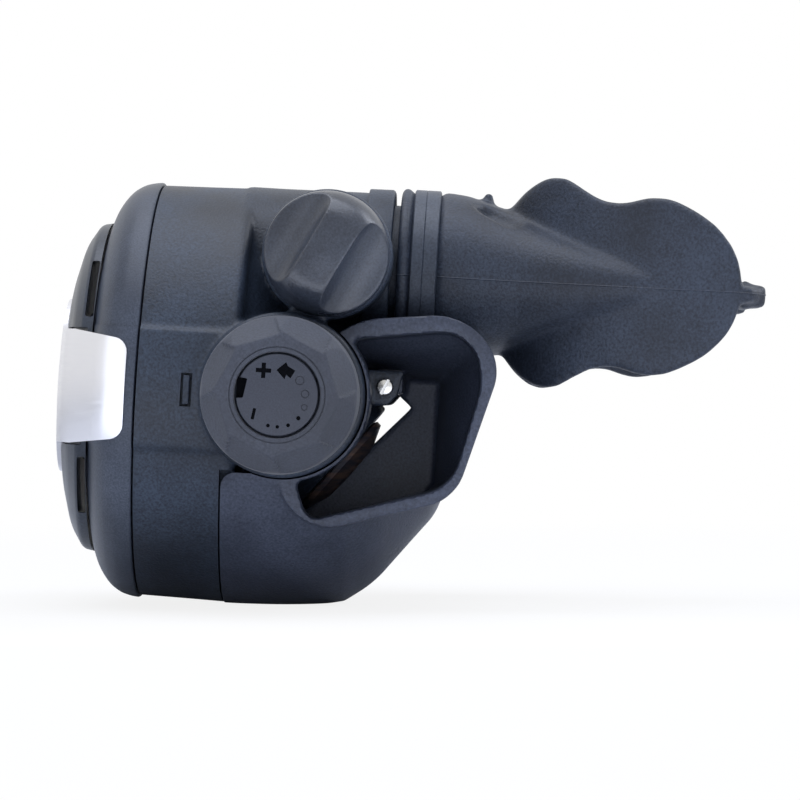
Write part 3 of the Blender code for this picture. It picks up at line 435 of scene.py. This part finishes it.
membrane_silicone = grained_plastic("moulded_silicone_grey", "#45464a", "#5a5b60", 0.5, 0.6, 0.2)
middle = turned([(0, -21.0), (24.2, -21.0), (24.6, -20.4), (0, -20.4)], ALONG_X, (0, 0, CHAMBER_Z))
piece("diaphragm_middle", middle, membrane_silicone, "plate", "diaphragm")
inner_wall = turned([(24.2, -21.0), (24.9, -25.2), (26.1, -25.2), (26.1, -24.9), (25.3, -24.9), (24.6, -20.4)], ALONG_X,
                    (0, 0, CHAMBER_Z))
inner_wall = piece("diaphragm_inner_wall", inner_wall, membrane_silicone, None, "diaphragm")
stretched(inner_wall)
outer_wall = turned([(26.1, -25.2), (27.3, -25.2), (28.4, -20.7), (32.1, -20.7), (32.1, -19.3), (29.2, -19.3),
                     (27.9, -20.2), (26.9, -24.9), (26.1, -24.9)], ALONG_X, (0, 0, CHAMBER_Z))
outer_wall = piece("diaphragm_outer_wall", outer_wall, membrane_silicone, None, "diaphragm")
stretched(outer_wall)

# ---------------------------------------------------------------- front cover
# The cover is a ring of the same nylon as the case with a finer skin, screwed in by hand. A perforated web
# stands behind the purge button, and a satin black bezel is clipped over it.

cover_nylon = grained_plastic("moulded_nylon_smooth_black", "#2a303b", "#464d5a", 0.42, 0.3, 0.3)
cover = turned([(35.25, -23.7, 0.3), (35.15, -25.4, 1.2), (34.3, -27.6, 2), (32.0, -30.0, 2), (28.6, -31.3, 1),
                (24, -32.3), (20.6, -32.9, 0.5), (19.2, -31.2), (13.4, -31.2, 0.3), (13.4, -28.0), (3.2, -28.0, 0.2),
                (3.2, -26.4), (15.0, -26.4), (16.4, -29.4), (19.8, -29.4), (25.0, -30.0), (29.2, -28.2),
                (30.4, -26.5), (30.4, -22.1), (32.1, -22.1), (32.1, -23.7)], ALONG_X, (0, 0, CHAMBER_Z), 192)
cover_band = common(turned([(35.45, -23.75, 0.2), (35.4, -25.4, 1.2), (34.5, -27.7, 2), (32.2, -30.2, 2), (28.6, -31.5),
                            (28.6, -30.2), (31.4, -28), (33, -23.75)], ALONG_X, (0, 0, CHAMBER_Z), 192),
                    block((-40, -45, -9.7), (0, 45, 9.6)))
cover = carved(joined(cover, cover_band), *[turned([(0, -34), (2.3, -34), (2.3, -25), (0, -25)], ALONG_X,
                               (0, 8.8 * math.cos(a), CHAMBER_Z + 8.8 * math.sin(a)), 32)
                        for a in (0.2 + i * math.pi / 4 for i in range(8))])
piece("cover_ring", cover, cover_nylon, "case", "front_cover")


def trim_form(spare=0.0):
    """The trim's sheet, domed over the cover and cut to its outline, or the hollow it needs, wider by spare."""
    outer = [(35.6, -25.3), (35.3, -26.6), (33.8, -29.8, 1.5), (30.6, -32.6, 1), (28.2, -34.4), (24.4, -36.5),
             (19.2, -37.8), (14.2, -38.4), (10.8 - spare, -38.5)]
    inner = [(10.8 - spare, -37.2 + spare), (14.2, -37.1 + spare), (19.0, -36.4 + spare), (23.4, -35.2 + spare),
             (28.4 + spare, -32.3 + spare / 2), (32.1, -30.0 + spare), (34.6, -26.9), (35.15, -25.3)]
    if spare:
        outer = [(c[0] + (2 if c[0] > 11 else 0), c[1] - 3) for c in outer]
    half, wide, ring = 9.3 + spare, 16.5, 14.6 + spare
    side = [(-45, half), (-wide, half, 2), (-7, ring, 4), (7, ring, 4), (wide, half, 2), (45, half)]
    outline = side + [(c[0], -c[1], *c[2:]) for c in reversed(side)]
    form = common(turned(outer + inner, ALONG_X, (0, 0, CHAMBER_Z), 192),
                  prism(outline, -45, -20, FRONT, (0, 0, CHAMBER_Z)))
    if not spare:
        wings = [(-45, 20), (-36.8, 20), (-36.2, 9.5), (-25.3, 7.9, 2.0), (-25.3, -7.9, 2.0), (-36.2, -9.5),
                 (-36.8, -20), (-45, -20)]
        form = common(form, prism(wings, -40, 40, at=(0, 0, CHAMBER_Z)))
    return form


satin_black = grained_plastic("satin_abs_black", "#222831", "#363d48", 0.36, 0.5, 0.1)
bezel = turned([(27.9, -31.9), (27.6, -33.6, 0.6), (24.6, -35.5, 1), (19.3, -37.0, 1), (14.2, -37.8, 1),
                (11.2, -37.9, 0.4), (11.2, -35.4), (18.4, -34.9), (25.2, -32.8)], ALONG_X, (0, 0, CHAMBER_Z), 192)
bezel = carved(bezel, trim_form(0.3), *[block((-33.4, -32, low), (-32.0, 32, low + 9.4), round_off=0.4)
                                        for low in (10.9, -21.4)])
piece("bezel_ring", bezel, satin_black, "case", "cover_bezel")

# ---------------------------------------------------------------- silver trim
# A pressed strip with a bright satin plating, folded down each side of the cover, that swells round the button.

satin_plate = material("satin_chrome_plating")
place = node(satin_plate, "ShaderNodeTexCoord").outputs["Object"]
brushed = node(satin_plate, "ShaderNodeMapping", {"Vector": place, "Scale": (1.0, 1.0, 18.0)})
streak = node(satin_plate, "ShaderNodeTexNoise", {"Vector": brushed.outputs["Vector"], "Scale": 1000 / 6.0,
                                                  "Detail": 4.0})
soft = node(satin_plate, "ShaderNodeMapRange", {"Value": streak.outputs["Fac"], "From Min": 0.3,
                                                "From Max": 0.7, "To Min": 0.28, "To Max": 0.4})
rub = node(satin_plate, "ShaderNodeBump", {"Height": streak.outputs["Fac"], "Strength": 0.06, "Distance": 0.0001})
strip = node(satin_plate, "ShaderNodeBsdfPrincipled", {"Base Color": colour("#dcdce0"), "Metallic": 1.0,
                                                       "Roughness": soft.outputs["Result"],
                                                       "Normal": rub.outputs["Normal"]})
node(satin_plate, "ShaderNodeOutputMaterial", {"Surface": strip.outputs["BSDF"]})
piece("trim_strip", trim_form(), satin_plate, "case", "trim_plate", crease=30)

# ---------------------------------------------------------------- purge button
# The button is satin black too. Pressing it pushes the diaphragm in and lets air flow.

button = turned([(0, -39.2), (4, -39.15), (8.4, -38.7, 2), (10.3, -37.2, 1), (10.3, -34.8), (12.6, -34.8, 0.3),
                 (12.6, -33.6, 0.3), (2.7, -33.6, 0.4), (2.7, -21.6, 0.4), (0, -21.6)], ALONG_X,
                (0, 0, CHAMBER_Z))
button = carved(button, *[turned([(r, -40), (r + 0.5, -40), (r + 0.5, -38.9), (r, -38.9)], ALONG_X,
                                 (0, 0, CHAMBER_Z)) for r in (3.2, 5.0, 6.8)])
piece("purge_cap", button, satin_black, "purge", "purge_button")
return_coil = piece("purge_coil", coil(5.0, 0.25, -33.0, -28.6, 4, ALONG_X, (0, 0, CHAMBER_Z)), stainless, None,
                    "purge_spring")
stretched(return_coil)

# ---------------------------------------------------------------- effort knob
# The knob is a nylon core with a soft rubber skin: eight flats round its bevel give wet fingers a grip. It
# turns a screw that loads the valve spring.

KNOB_BACK, KNOB_FRONT = -38.0, -50.6
soft_rubber = grained_plastic("soft_touch_rubber_grey", "#2e3139", "#3f434d", 0.6, 0.35, 0.3, sheen=0.12)
knob = turned([(6.75, KNOB_FRONT, 0.25), (10.2, KNOB_FRONT + 0.3, 0.8), (12.3, -46.6, 1), (12.6, -43.0, 1),
               (12.6, KNOB_BACK, 0.6), (10.8, KNOB_BACK), (10.8, -44.0), (6.0, -44.0), (6.0, KNOB_BACK),
               (3.3, KNOB_BACK), (3.3, -46.4), (1.6, -46.4), (1.6, -46.9), (3.3, -46.9), (3.3, -48.8),
               (6.75, -48.8)])
flats = []
for i in range(8):
    slope = (Matrix.Rotation(-math.radians(26 + 45 * i), 4, "Y") @ Matrix.Translation((10.25, -48.6, 0))
             @ Matrix.Rotation(-math.radians(33), 4, "Z") @ Matrix.Rotation(math.radians(5.5), 4, "Y"))
    flats.append(block((0, -8, -4.25), (6, 8, 4.25), slope))
knob = moulded(carved(knob, *flats), 0.2, 1)
ring_groove = turned([(7.4, -52), (7.6, -52), (7.6, KNOB_FRONT + 0.3), (7.4, KNOB_FRONT + 0.3)])
piece("knob_grip", carved(knob, ring_groove), soft_rubber, "effort_knob", "adjusting_knob")

# ---------------------------------------------------------------- knob scale
# A grey nylon disc snapped in the knob's face. Its sunk marks run from minus, a row of growing dots and rings,
# to an arrow and plus; the window in its edge shows the stop.

scale_nylon = grained_plastic("moulded_nylon_grey", "#2b2e37", "#353943", 0.5, 0.25, 0.12)
ink = grained_plastic("matt_black_filling", "#060709", "#0b0c10", 0.8, 0.3, 0.05, gloss=0.03)
DISC_FACE = -50.5


def on_disc(degrees, radius):
    """A mark's own frame, at its place round the disc: out of the face is Z."""
    angle = math.radians(degrees)
    return Matrix.Translation((radius * math.cos(angle), DISC_FACE, radius * math.sin(angle))) @ SIDE


def marks(low, high):
    """The scale's filled marks as solids from low to high, measured out of the face."""
    plus = joined(block((-1.2, -0.33, low), (1.2, 0.33, high), on_disc(122, 4.37)),
                  block((-0.33, -1.2, low), (0.33, 1.2, high), on_disc(122, 4.37)))
    arrow = prism([(-1.48, 0.06), (-0.14, -1.34), (0.08, -0.63), (0.79, -1.12), (1.48, 0.12), (0.29, 0.75),
                   (-0.02, 1.37)], low, high, on_disc(73, 4.0))
    minus = block((-0.25, -0.88, low), (0.25, 0.88, high), on_disc(-138, 4.7) @ Matrix.Rotation(-0.17, 4, "Z"))
    dots = [turned([(0, low), (size, low), (size, high), (0, high)], on_disc(angle, radius), steps=32)
            for angle, radius, size in ((-44, 4.93, 0.34), (-66.5, 5.04, 0.3), (-86, 4.97, 0.28), (-103, 4.97, 0.28))]
    return [plus, arrow, minus, *dots]


disc = turned([(0, DISC_FACE), (6.4, DISC_FACE, 0.2), (6.4, -49.1), (0, -49.1)])
rings = [turned([(size - 0.14, -0.2), (size, -0.2), (size, 1), (size - 0.14, 1)], on_disc(angle, radius), steps=32)
         for angle, radius, size in ((35.5, 4.23, 0.72), (5.4, 4.4, 0.65), (-21, 4.68, 0.52))]
window = [(-7.2, 2.6), (-4.75, 2.3, 0.2), (-5.3, -0.75, 0.2), (-7.2, -0.9)]
disc = carved(disc, *marks(-0.4, 1), *rings, prism(window, 48, 52))
piece("scale_disc", disc, scale_nylon, "effort_knob", "knob_insert")
window_floor = prism([(-6.45, 2.45), (-4.8, 2.25), (-5.3, -0.7), (-6.45, -0.8)], 48.9, 49.4)
piece("scale_marks", joined(window_floor, *marks(-0.45, -0.12)), ink, "effort_knob")

# ---------------------------------------------------------------- venturi knob
# A bar grip moulded on a round skirt. Turning it swings the vane in the mouth tube, which steers the air.

knob_abs = grained_plastic("moulded_abs_black", "#22262f", "#3a404b", 0.3, 0.35, 0.35, gloss=0.5)
grip_at = (VENTURI_X, 0, VENTURI_Z)
grip = turned([(0, -41.0), (7.2, -40.4, 2), (9.4, -37.6, 1.5), (10.15, -34.6, 1), (10.15, -31.9, 0.3), (3.3, -31.9),
               (3.3, -35.5), (0, -35.5)], at=grip_at)
LEAN = math.radians(62)
for side in (-1, 1):
    bar = Matrix.Translation(grip_at) @ Matrix.Rotation(-LEAN, 4, "Y")
    grip = carved(grip, turned([(0, -16), (6.4, -16), (6.4, 16), (0, 16)],
                               bar @ Matrix.Translation((0, -41.7, side * 9.4)) @ ALONG_X))
grip = moulded(grip, 0.22, 3)
piece("venturi_grip", grip, knob_abs, "venturi", "venturi_knob")
dress(acetal, "venturi_vane")

# ---------------------------------------------------------------- exhaust valve
# A thin mushroom of clear silicone, pulled through the port by its stem. Age gives it a faint brown tint.

clear_silicone = material("clear_silicone_aged")
place = node(clear_silicone, "ShaderNodeTexCoord").outputs["Object"]
drawn_out = node(clear_silicone, "ShaderNodeMapping", {"Vector": place, "Rotation": (0, -PORT_TURN, 0),
                                                       "Scale": (1.0, 1.0, 7.0)})
age = node(clear_silicone, "ShaderNodeTexNoise", {"Vector": drawn_out.outputs["Vector"], "Scale": 1000 / 7.0,
                                                  "Detail": 3.0})
tint = node(clear_silicone, "ShaderNodeValToRGB", {"Fac": age.outputs["Fac"]})
tint.color_ramp.elements[0].position = 0.4
tint.color_ramp.elements[0].color = colour("#3b3a42")
tint.color_ramp.elements[1].position = 0.7
tint.color_ramp.elements[1].color = colour("#7a6152")
film = node(clear_silicone, "ShaderNodeBsdfPrincipled", {"Base Color": tint.outputs["Color"], "Roughness": 0.55,
                                                         "IOR": 1.41, "Specular IOR Level": 0.3,
                                                         "Transmission Weight": 0.05})
node(clear_silicone, "ShaderNodeOutputMaterial", {"Surface": film.outputs["BSDF"]})
s, c = math.sin(PORT_TURN), math.cos(PORT_TURN)
flap = turned([(0, 7.9), (0.8, 7.9), (1.7, 8.5), (0.95, 8.9), (0.95, 13.45), (9.0, 13.45), (9.6, 13.7, 0.2), (9.5, 14.6),
               (5.6, 16.2, 1), (0, 16.4)], ALONG_PORT, (-PORT_SHIFT * c, 0, PORT_SHIFT * s))
piece("exhaust_flap", flap, clear_silicone, "case", "exhaust_valve")

# ---------------------------------------------------------------- exhaust tee
# The tee carries the belly of the case on and leads the bubbles out past both sides of the diver's face. It is
# moulded in a softer nylon with a fine grain, and two screws in the case's lugs hold it.

tee_nylon = grained_plastic("moulded_nylon_tee", "#2a2f3b", "#434958", 0.45, 0.4, 0.7)
TEE_END = 33.0
tunnel = prism([(5.0, 8.0), (11.6, 12.9, 3), (29.5, 14.9, 6), (34.8, 6.5, 3), (28.6, -15.2, 4), (6.5, -21.7, 4),
                (0.8, -17, 2), (0, -12)], -TEE_END, TEE_END)
belly = turned([(0, -11), (35.3, -11), (35.3, 5, 6), (33.8, 11, 3), (30.4, 15.8, 2.5), (24.5, 20.4, 3),
                (17, 26.4, 3), (0, 27.5)], ALONG_X, (0, 0, CHAMBER_Z))
mouth_room = oval_sleeve([(-20, 18.7, 15.3), (50, 18.7, 15.3)])
front_scoop = turned([(0, -30), (30, -30), (30, 30), (0, 30)], PLAN, (57, 0, 0))
lower_half = block((-20, -45, -45), (40, 45, -10.5))
tee = carved(joined(tunnel, common(belly, lower_half)), mouth_room, front_scoop)
room = prism([(8.0, 9.3), (29.0, 12.3, 4.5), (32.3, 5.0, 4), (28.0, -13.4, 4), (5.0, -20.0, 2), (3.0, -14.5, 1),
              (3.6, -12.0)], -TEE_END - 5, TEE_END + 5)
belly_room = turned([(0, -12), (33.2, -12), (33.2, 4.4, 6), (31.8, 10, 3), (28.6, 14.4, 2.5), (23, 18.6, 3),
                     (15.6, 24.2, 3), (0, 25.3)], ALONG_X, (0, 0, CHAMBER_Z))
room = joined(room, common(belly_room, block((-20, -45, -45), (40, 45, -11.5))))
divider = prism([(20.4, -0.9), (18.1, 1.0), (18.1, 12), (36, 12), (36, -40), (2, -40), (2, -20.7)], -1.2, 1.2)
posts = [prism([(14.2, 1.3), (19, 1.3), (19, 4.7), (14.2, 4.7)], low, high) for low, high in ((1, 18.5), (-18.5, -1))]
collars = [turned([(0, low), (14.1, low), (14.1, high), (0, high)]) for low, high in ((-45, -19), (19, 45))]
room = carved(room, oval_sleeve([(-20, 20.7, 17.3), (50, 20.7, 17.3)]),
              turned([(0, -30), (32, -30), (32, 30), (0, 30)], PLAN, (57, 0, 0)), divider, *posts, *collars)
tee = moulded(carved(tee, room), 0.47, 2)
boss_room = turned([(0, -45), (BOSS_R + 0.3, -45), (BOSS_R + 0.3, -19.6), (12.95, -19), (12.95, 19),
                    (BOSS_R + 0.3, 19.6), (BOSS_R + 0.3, 45), (0, 45)])
lug_rooms = [prism([(8, 5.4), (19.6, 5.4), (18.8, 1), (16.9, -1.2), (8, -1.2)], low, low + 2.2)
             for low in (18.5, -20.7)]
chest = prism([(-9.2, -45), (-9.2, -12.9, 2.4), (2.5, -12.9), (2.5, 10), (-20, 10), (-20, -45)], -45, 45)
foot = block((-60, -60, -20), (60, 60, 0), Matrix.Rotation(-REST_TILT, 4, "Y"),
             Matrix.Rotation(-REST_TILT, 4, "Y") @ Vector((0, 0, -35.2)))
tee = carved(tee, boss_room, port_rod(12.6, 0, PORT_FACE + 0.3), foot, *lug_rooms,
             turned([(0, -30), (0.75, -30), (0.75, 30), (0, 30)], at=(16.07, 0, 2.3), steps=32), chest)
piece("exhaust_duct", tee, tee_nylon, "case", "exhaust_tee")

# ---------------------------------------------------------------- tee screws
# Cheese-head screws in stainless steel, slotted.

for name, sign in (("left", -1), ("right", 1)):
    way = Matrix.Rotation(-sign * math.pi / 2, 4, "X")
    screw = turned([(0, 0), (0.45, 0), (0.45, 6.1), (1.35, 6.1), (1.35, 6.95, 0.25), (0, 7.1)], way,
                   (16.07, sign * 14.6, 2.3), 48)
    slot = block((-0.24, -0.9, -2), (0.24, 0.9, 2), Matrix.Rotation(math.radians(25), 4, "Y"),
                 (16.07, sign * 21.9, 2.3))
    piece("slotted_screw_" + name, carved(screw, slot), stainless, "case", "tee_screw_" + name, crease=30)

# ---------------------------------------------------------------- mouthpiece
# One soft piece of silicone: a sleeve over the neck that flares into a flange between lips and gums, with a
# tab on each side that the teeth hold. The mould's parting line runs along its middle.

ARCH_FRONT, ARCH_DEPTH, ARCH_HALF = 34.0, 43.0, 29.0


def arch(inset=0.0, back=80.0, count=13):
    """The dental arch from above: x rises from its front as a power of y."""
    half, front = ARCH_HALF - inset, ARCH_FRONT + inset
    side = []
    for i in range(count):
        y = i / (count - 1) * half * ((back - front) / ARCH_DEPTH) ** (1 / 2.2)
        side.append((front + ARCH_DEPTH * (y / half) ** 2.2, y))
    return [(x, -y) for x, y in reversed(side[1:])] + side


mouth_silicone = grained_plastic("moulded_silicone_black", "#1a1f29", "#363e4c", 0.48, 0.42, 0.9)
sleeve = oval_sleeve([(16.7, 17.9, 14.5), (17.3, 18.3, 14.95), (18.3, 18.3, 14.95), (18.75, 17.05, 13.7),
                      (23.65, 17.05, 13.7), (23.95, 17.9, 14.6), (28, 17.8, 14.2), (32, 17.9, 13.0),
                      (37, 18.4, 11.6), (44, 20.1, 10.2), (53, 22.4, 8.2), (58.5, 23.2, 6.2), (63.5, 23.8, 4.4)])
half = [(32.4, 9.0, 2), (35.4, 12.6, 2), (38.2, 16.0, 2), (42.9, 18.5, 3), (47.2, 15.3, 3), (52.0, 12.9, 3),
        (59.2, 15.2, 3), (65.0, 12.9, 3), (69.8, 9.4, 3), (72.3, 5.2, 2), (73.0, 1.8, 1)]
edge = half + [(c[0], -c[1], c[2]) for c in reversed(half)]
flange = common(prism(arch(), 0, 45, PLAN), prism(edge, -40, 40, at=(0, 0, MOUTH_Z)))
tabs = []
for sign in (-1, 1):
    plan = [(48, 9.5, 1.5), (62, 11, 3), (76.6, 14.6, 1.2), (77.2, 17, 0.8), (76.6, 24.6, 1.2), (74.6, 27.2),
            (64, 24.0), (54, 20.0), (47, 16.5)]
    tabs.append(prism([(c[0], sign * c[1], *c[2:]) for c in plan], MOUTH_Z - 1.9, MOUTH_Z + 0.7, PLAN))
    inner, outer = sorted((sign * 15.5, sign * 24))
    tabs.append(block((74.6, inner, MOUTH_Z - 2.5), (77.3, outer, MOUTH_Z + 1.2), round_off=0.3))
    tabs.append(block((73.2, inner, MOUTH_Z - 3.2), (74.4, outer, MOUTH_Z + 1.9), round_off=0.3))
sprue = block((30.6, -0.9, 33), (32.3, 0.9, 36.4), round_off=0.2)
body = joined(carved(joined(sleeve, flange), prism(arch(2.3, back=90), -5, 50, PLAN)), *tabs, sprue)
dimples = []
for sign in (-1, 1):
    lie = Vector((7.4, sign * 5, -2.6)).to_track_quat("Z", "Y").to_matrix().to_4x4()
    dimples.append(turned([(0, -4.4), (2.2, -4.4, 2.0), (2.2, 4.4, 2.0), (0, 4.4)], lie, (33.4, sign * 10.6, 32.3), 32))
body = carved(body, oval_sleeve([(15, 15.5, 12.2), (24.9, 15.5, 12.2)]),
              oval_sleeve([(20, 13.2, 9.9), (47, 13.2, 8.4)]), *dimples)
body = moulded(body, 0.42, 14)
# The parting line stands a tenth of a millimetre proud, where the two halves of the mould met
PARTING_Z = MOUTH_Z - 0.35
for height in (PARTING_Z - 0.13, PARTING_Z + 0.13, PARTING_Z):
    cut = bmesh.ops.bisect_plane(body, geom=body.verts[:] + body.edges[:] + body.faces[:], dist=0.0005,
                                 plane_co=(0, 0, height), plane_no=(0, 0, 1))["geom_cut"]
body.normal_update()
flash = [(vert, vert.normal.copy()) for vert in cut if isinstance(vert, bmesh.types.BMVert)]
for vert, outward in flash:
    vert.co += 0.12 * outward
piece("mouthpiece_soft", body, mouth_silicone, "case", "mouthpiece")

# ---------------------------------------------------------------- mouthpiece clamp
# A nylon band pulled tight in the mouthpiece's groove, with its catch on the hose side.

band_nylon = grained_plastic("moulded_nylon_band", "#2b313b", "#454c58", 0.42, 0.4, 0.4)
band = oval_sleeve([(18.95, 17.8, 14.45), (19.15, 18.1, 14.75), (20.9, 18.1, 14.75), (21.0, 18.0, 14.65),
                    (21.1, 18.1, 14.75), (23.2, 18.1, 14.75), (23.4, 17.8, 14.45)], 160)
catch = block((19.3, 16.5, 17.0), (23.0, 20.0, 25.6), round_off=0.5)
band = carved(joined(band, catch), oval_sleeve([(17, 17.35, 14.0), (25, 17.35, 14.0)], 160))
piece("clamp_band", band, band_nylon, "case", "mouthpiece_clamp")

# ---------------------------------------------------------------- studio
# A flat white floor under four soft lamps.

stage_look = material("white_paper")
seen = node(stage_look, "ShaderNodeLightPath")
spot = node(stage_look, "ShaderNodeTexCoord").outputs["Object"]
away = node(stage_look, "ShaderNodeVectorMath", {0: spot}, operation="LENGTH")
burnt_out = node(stage_look, "ShaderNodeMapRange", {"Value": away.outputs["Value"], "From Min": 0.12, "From Max": 0.4,
                                                    "To Min": 0.85, "To Max": 1.0})
paper = node(stage_look, "ShaderNodeBsdfDiffuse", {"Color": colour("#f0f0f0")})
glow = node(stage_look, "ShaderNodeEmission", {"Color": (1, 1, 1, 1), "Strength": 1.0})
amount = node(stage_look, "ShaderNodeMath", {0: seen.outputs["Is Camera Ray"], 1: burnt_out.outputs["Result"]},
              operation="MULTIPLY")
mixed = node(stage_look, "ShaderNodeMixShader", {"Fac": amount.outputs["Value"], 1: paper.outputs["BSDF"],
                                                 2: glow.outputs["Emission"]})
node(stage_look, "ShaderNodeOutputMaterial", {"Surface": mixed.outputs["Shader"]})
sheet = bmesh.new()
bmesh.ops.create_grid(sheet, x_segments=1, y_segments=1, size=4)
floor_mesh = bpy.data.meshes.new("floor")
sheet.to_mesh(floor_mesh)
sheet.free()
floor_mesh.materials.append(stage_look)
floor = bpy.data.objects.new("floor", floor_mesh)
floor.location = (0, 0, -0.0002)
bpy.context.scene.collection.objects.link(floor)

world = bpy.data.worlds.new("studio")
bpy.context.scene.world = world
world.use_nodes = True
world.node_tree.nodes.clear()
ray = node(world, "ShaderNodeLightPath")
plain = node(world, "ShaderNodeMath", {0: ray.outputs["Is Camera Ray"], 1: ray.outputs["Is Transmission Ray"]},
             operation="MAXIMUM")
either = node(world, "ShaderNodeMath", {0: plain.outputs["Value"], 1: ray.outputs["Is Glossy Ray"]},
              operation="MAXIMUM")
level = node(world, "ShaderNodeValToRGB", {"Fac": either.outputs["Value"]})
level.color_ramp.elements[0].color = (0.25, 0.265, 0.305, 1)
level.color_ramp.elements[1].color = (1, 1, 1, 1)
sky = node(world, "ShaderNodeBackground", {"Color": level.outputs["Color"], "Strength": 1.0})
node(world, "ShaderNodeOutputWorld", {"Surface": sky.outputs["Background"]})


def softbox(name, place, aim, size, power, tone="#ffffff"):
    lamp = bpy.data.lights.new(name, "AREA")
    lamp.shape = "RECTANGLE"
    lamp.size, lamp.size_y = size
    lamp.energy = power
    lamp.color = colour(tone)[:3]
    holder = bpy.data.objects.new(name, lamp)
    holder.location = place
    holder.rotation_euler = (Vector(aim) - Vector(place)).to_track_quat("-Z", "Y").to_euler()
    holder.visible_camera = False
    bpy.context.scene.collection.objects.link(holder)


COOL = "#eaf0ff"
softbox("overhead", (-0.05, -0.1, 0.75), (0, 0, 0.035), (0.9, 0.7), 6.5, COOL)
softbox("left_front", (-0.7, -0.6, 0.35), (0, 0, 0.035), (0.5, 0.6), 0.7, COOL)
softbox("right_back", (0.7, 0.2, 0.5), (0, 0, 0.035), (0.4, 0.5), 3, COOL)
softbox("low_front", (0, -0.11, 0.003), (0, -0.05, 0.1), (0.4, 0.12), 0.3, COOL)

# The view is level, one degree round towards the mouth
swing = math.radians(1.0)
ahead = Vector((-math.sin(swing), math.cos(swing), 0))
camera_data = bpy.data.cameras.new("camera")
camera_data.lens = 158.8
camera_data.sensor_width = 36
camera_data.clip_start, camera_data.clip_end = 0.05, 10
camera = bpy.data.objects.new("camera", camera_data)
target = case_centre + Vector((0.0183, 0, -0.00079))
camera.location = target - ahead * 0.6
camera.rotation_euler = ahead.to_track_quat("-Z", "Y").to_euler()
bpy.context.scene.collection.objects.link(camera)
bpy.context.scene.camera = camera
bpy.context.scene.view_settings.view_transform = "Standard"
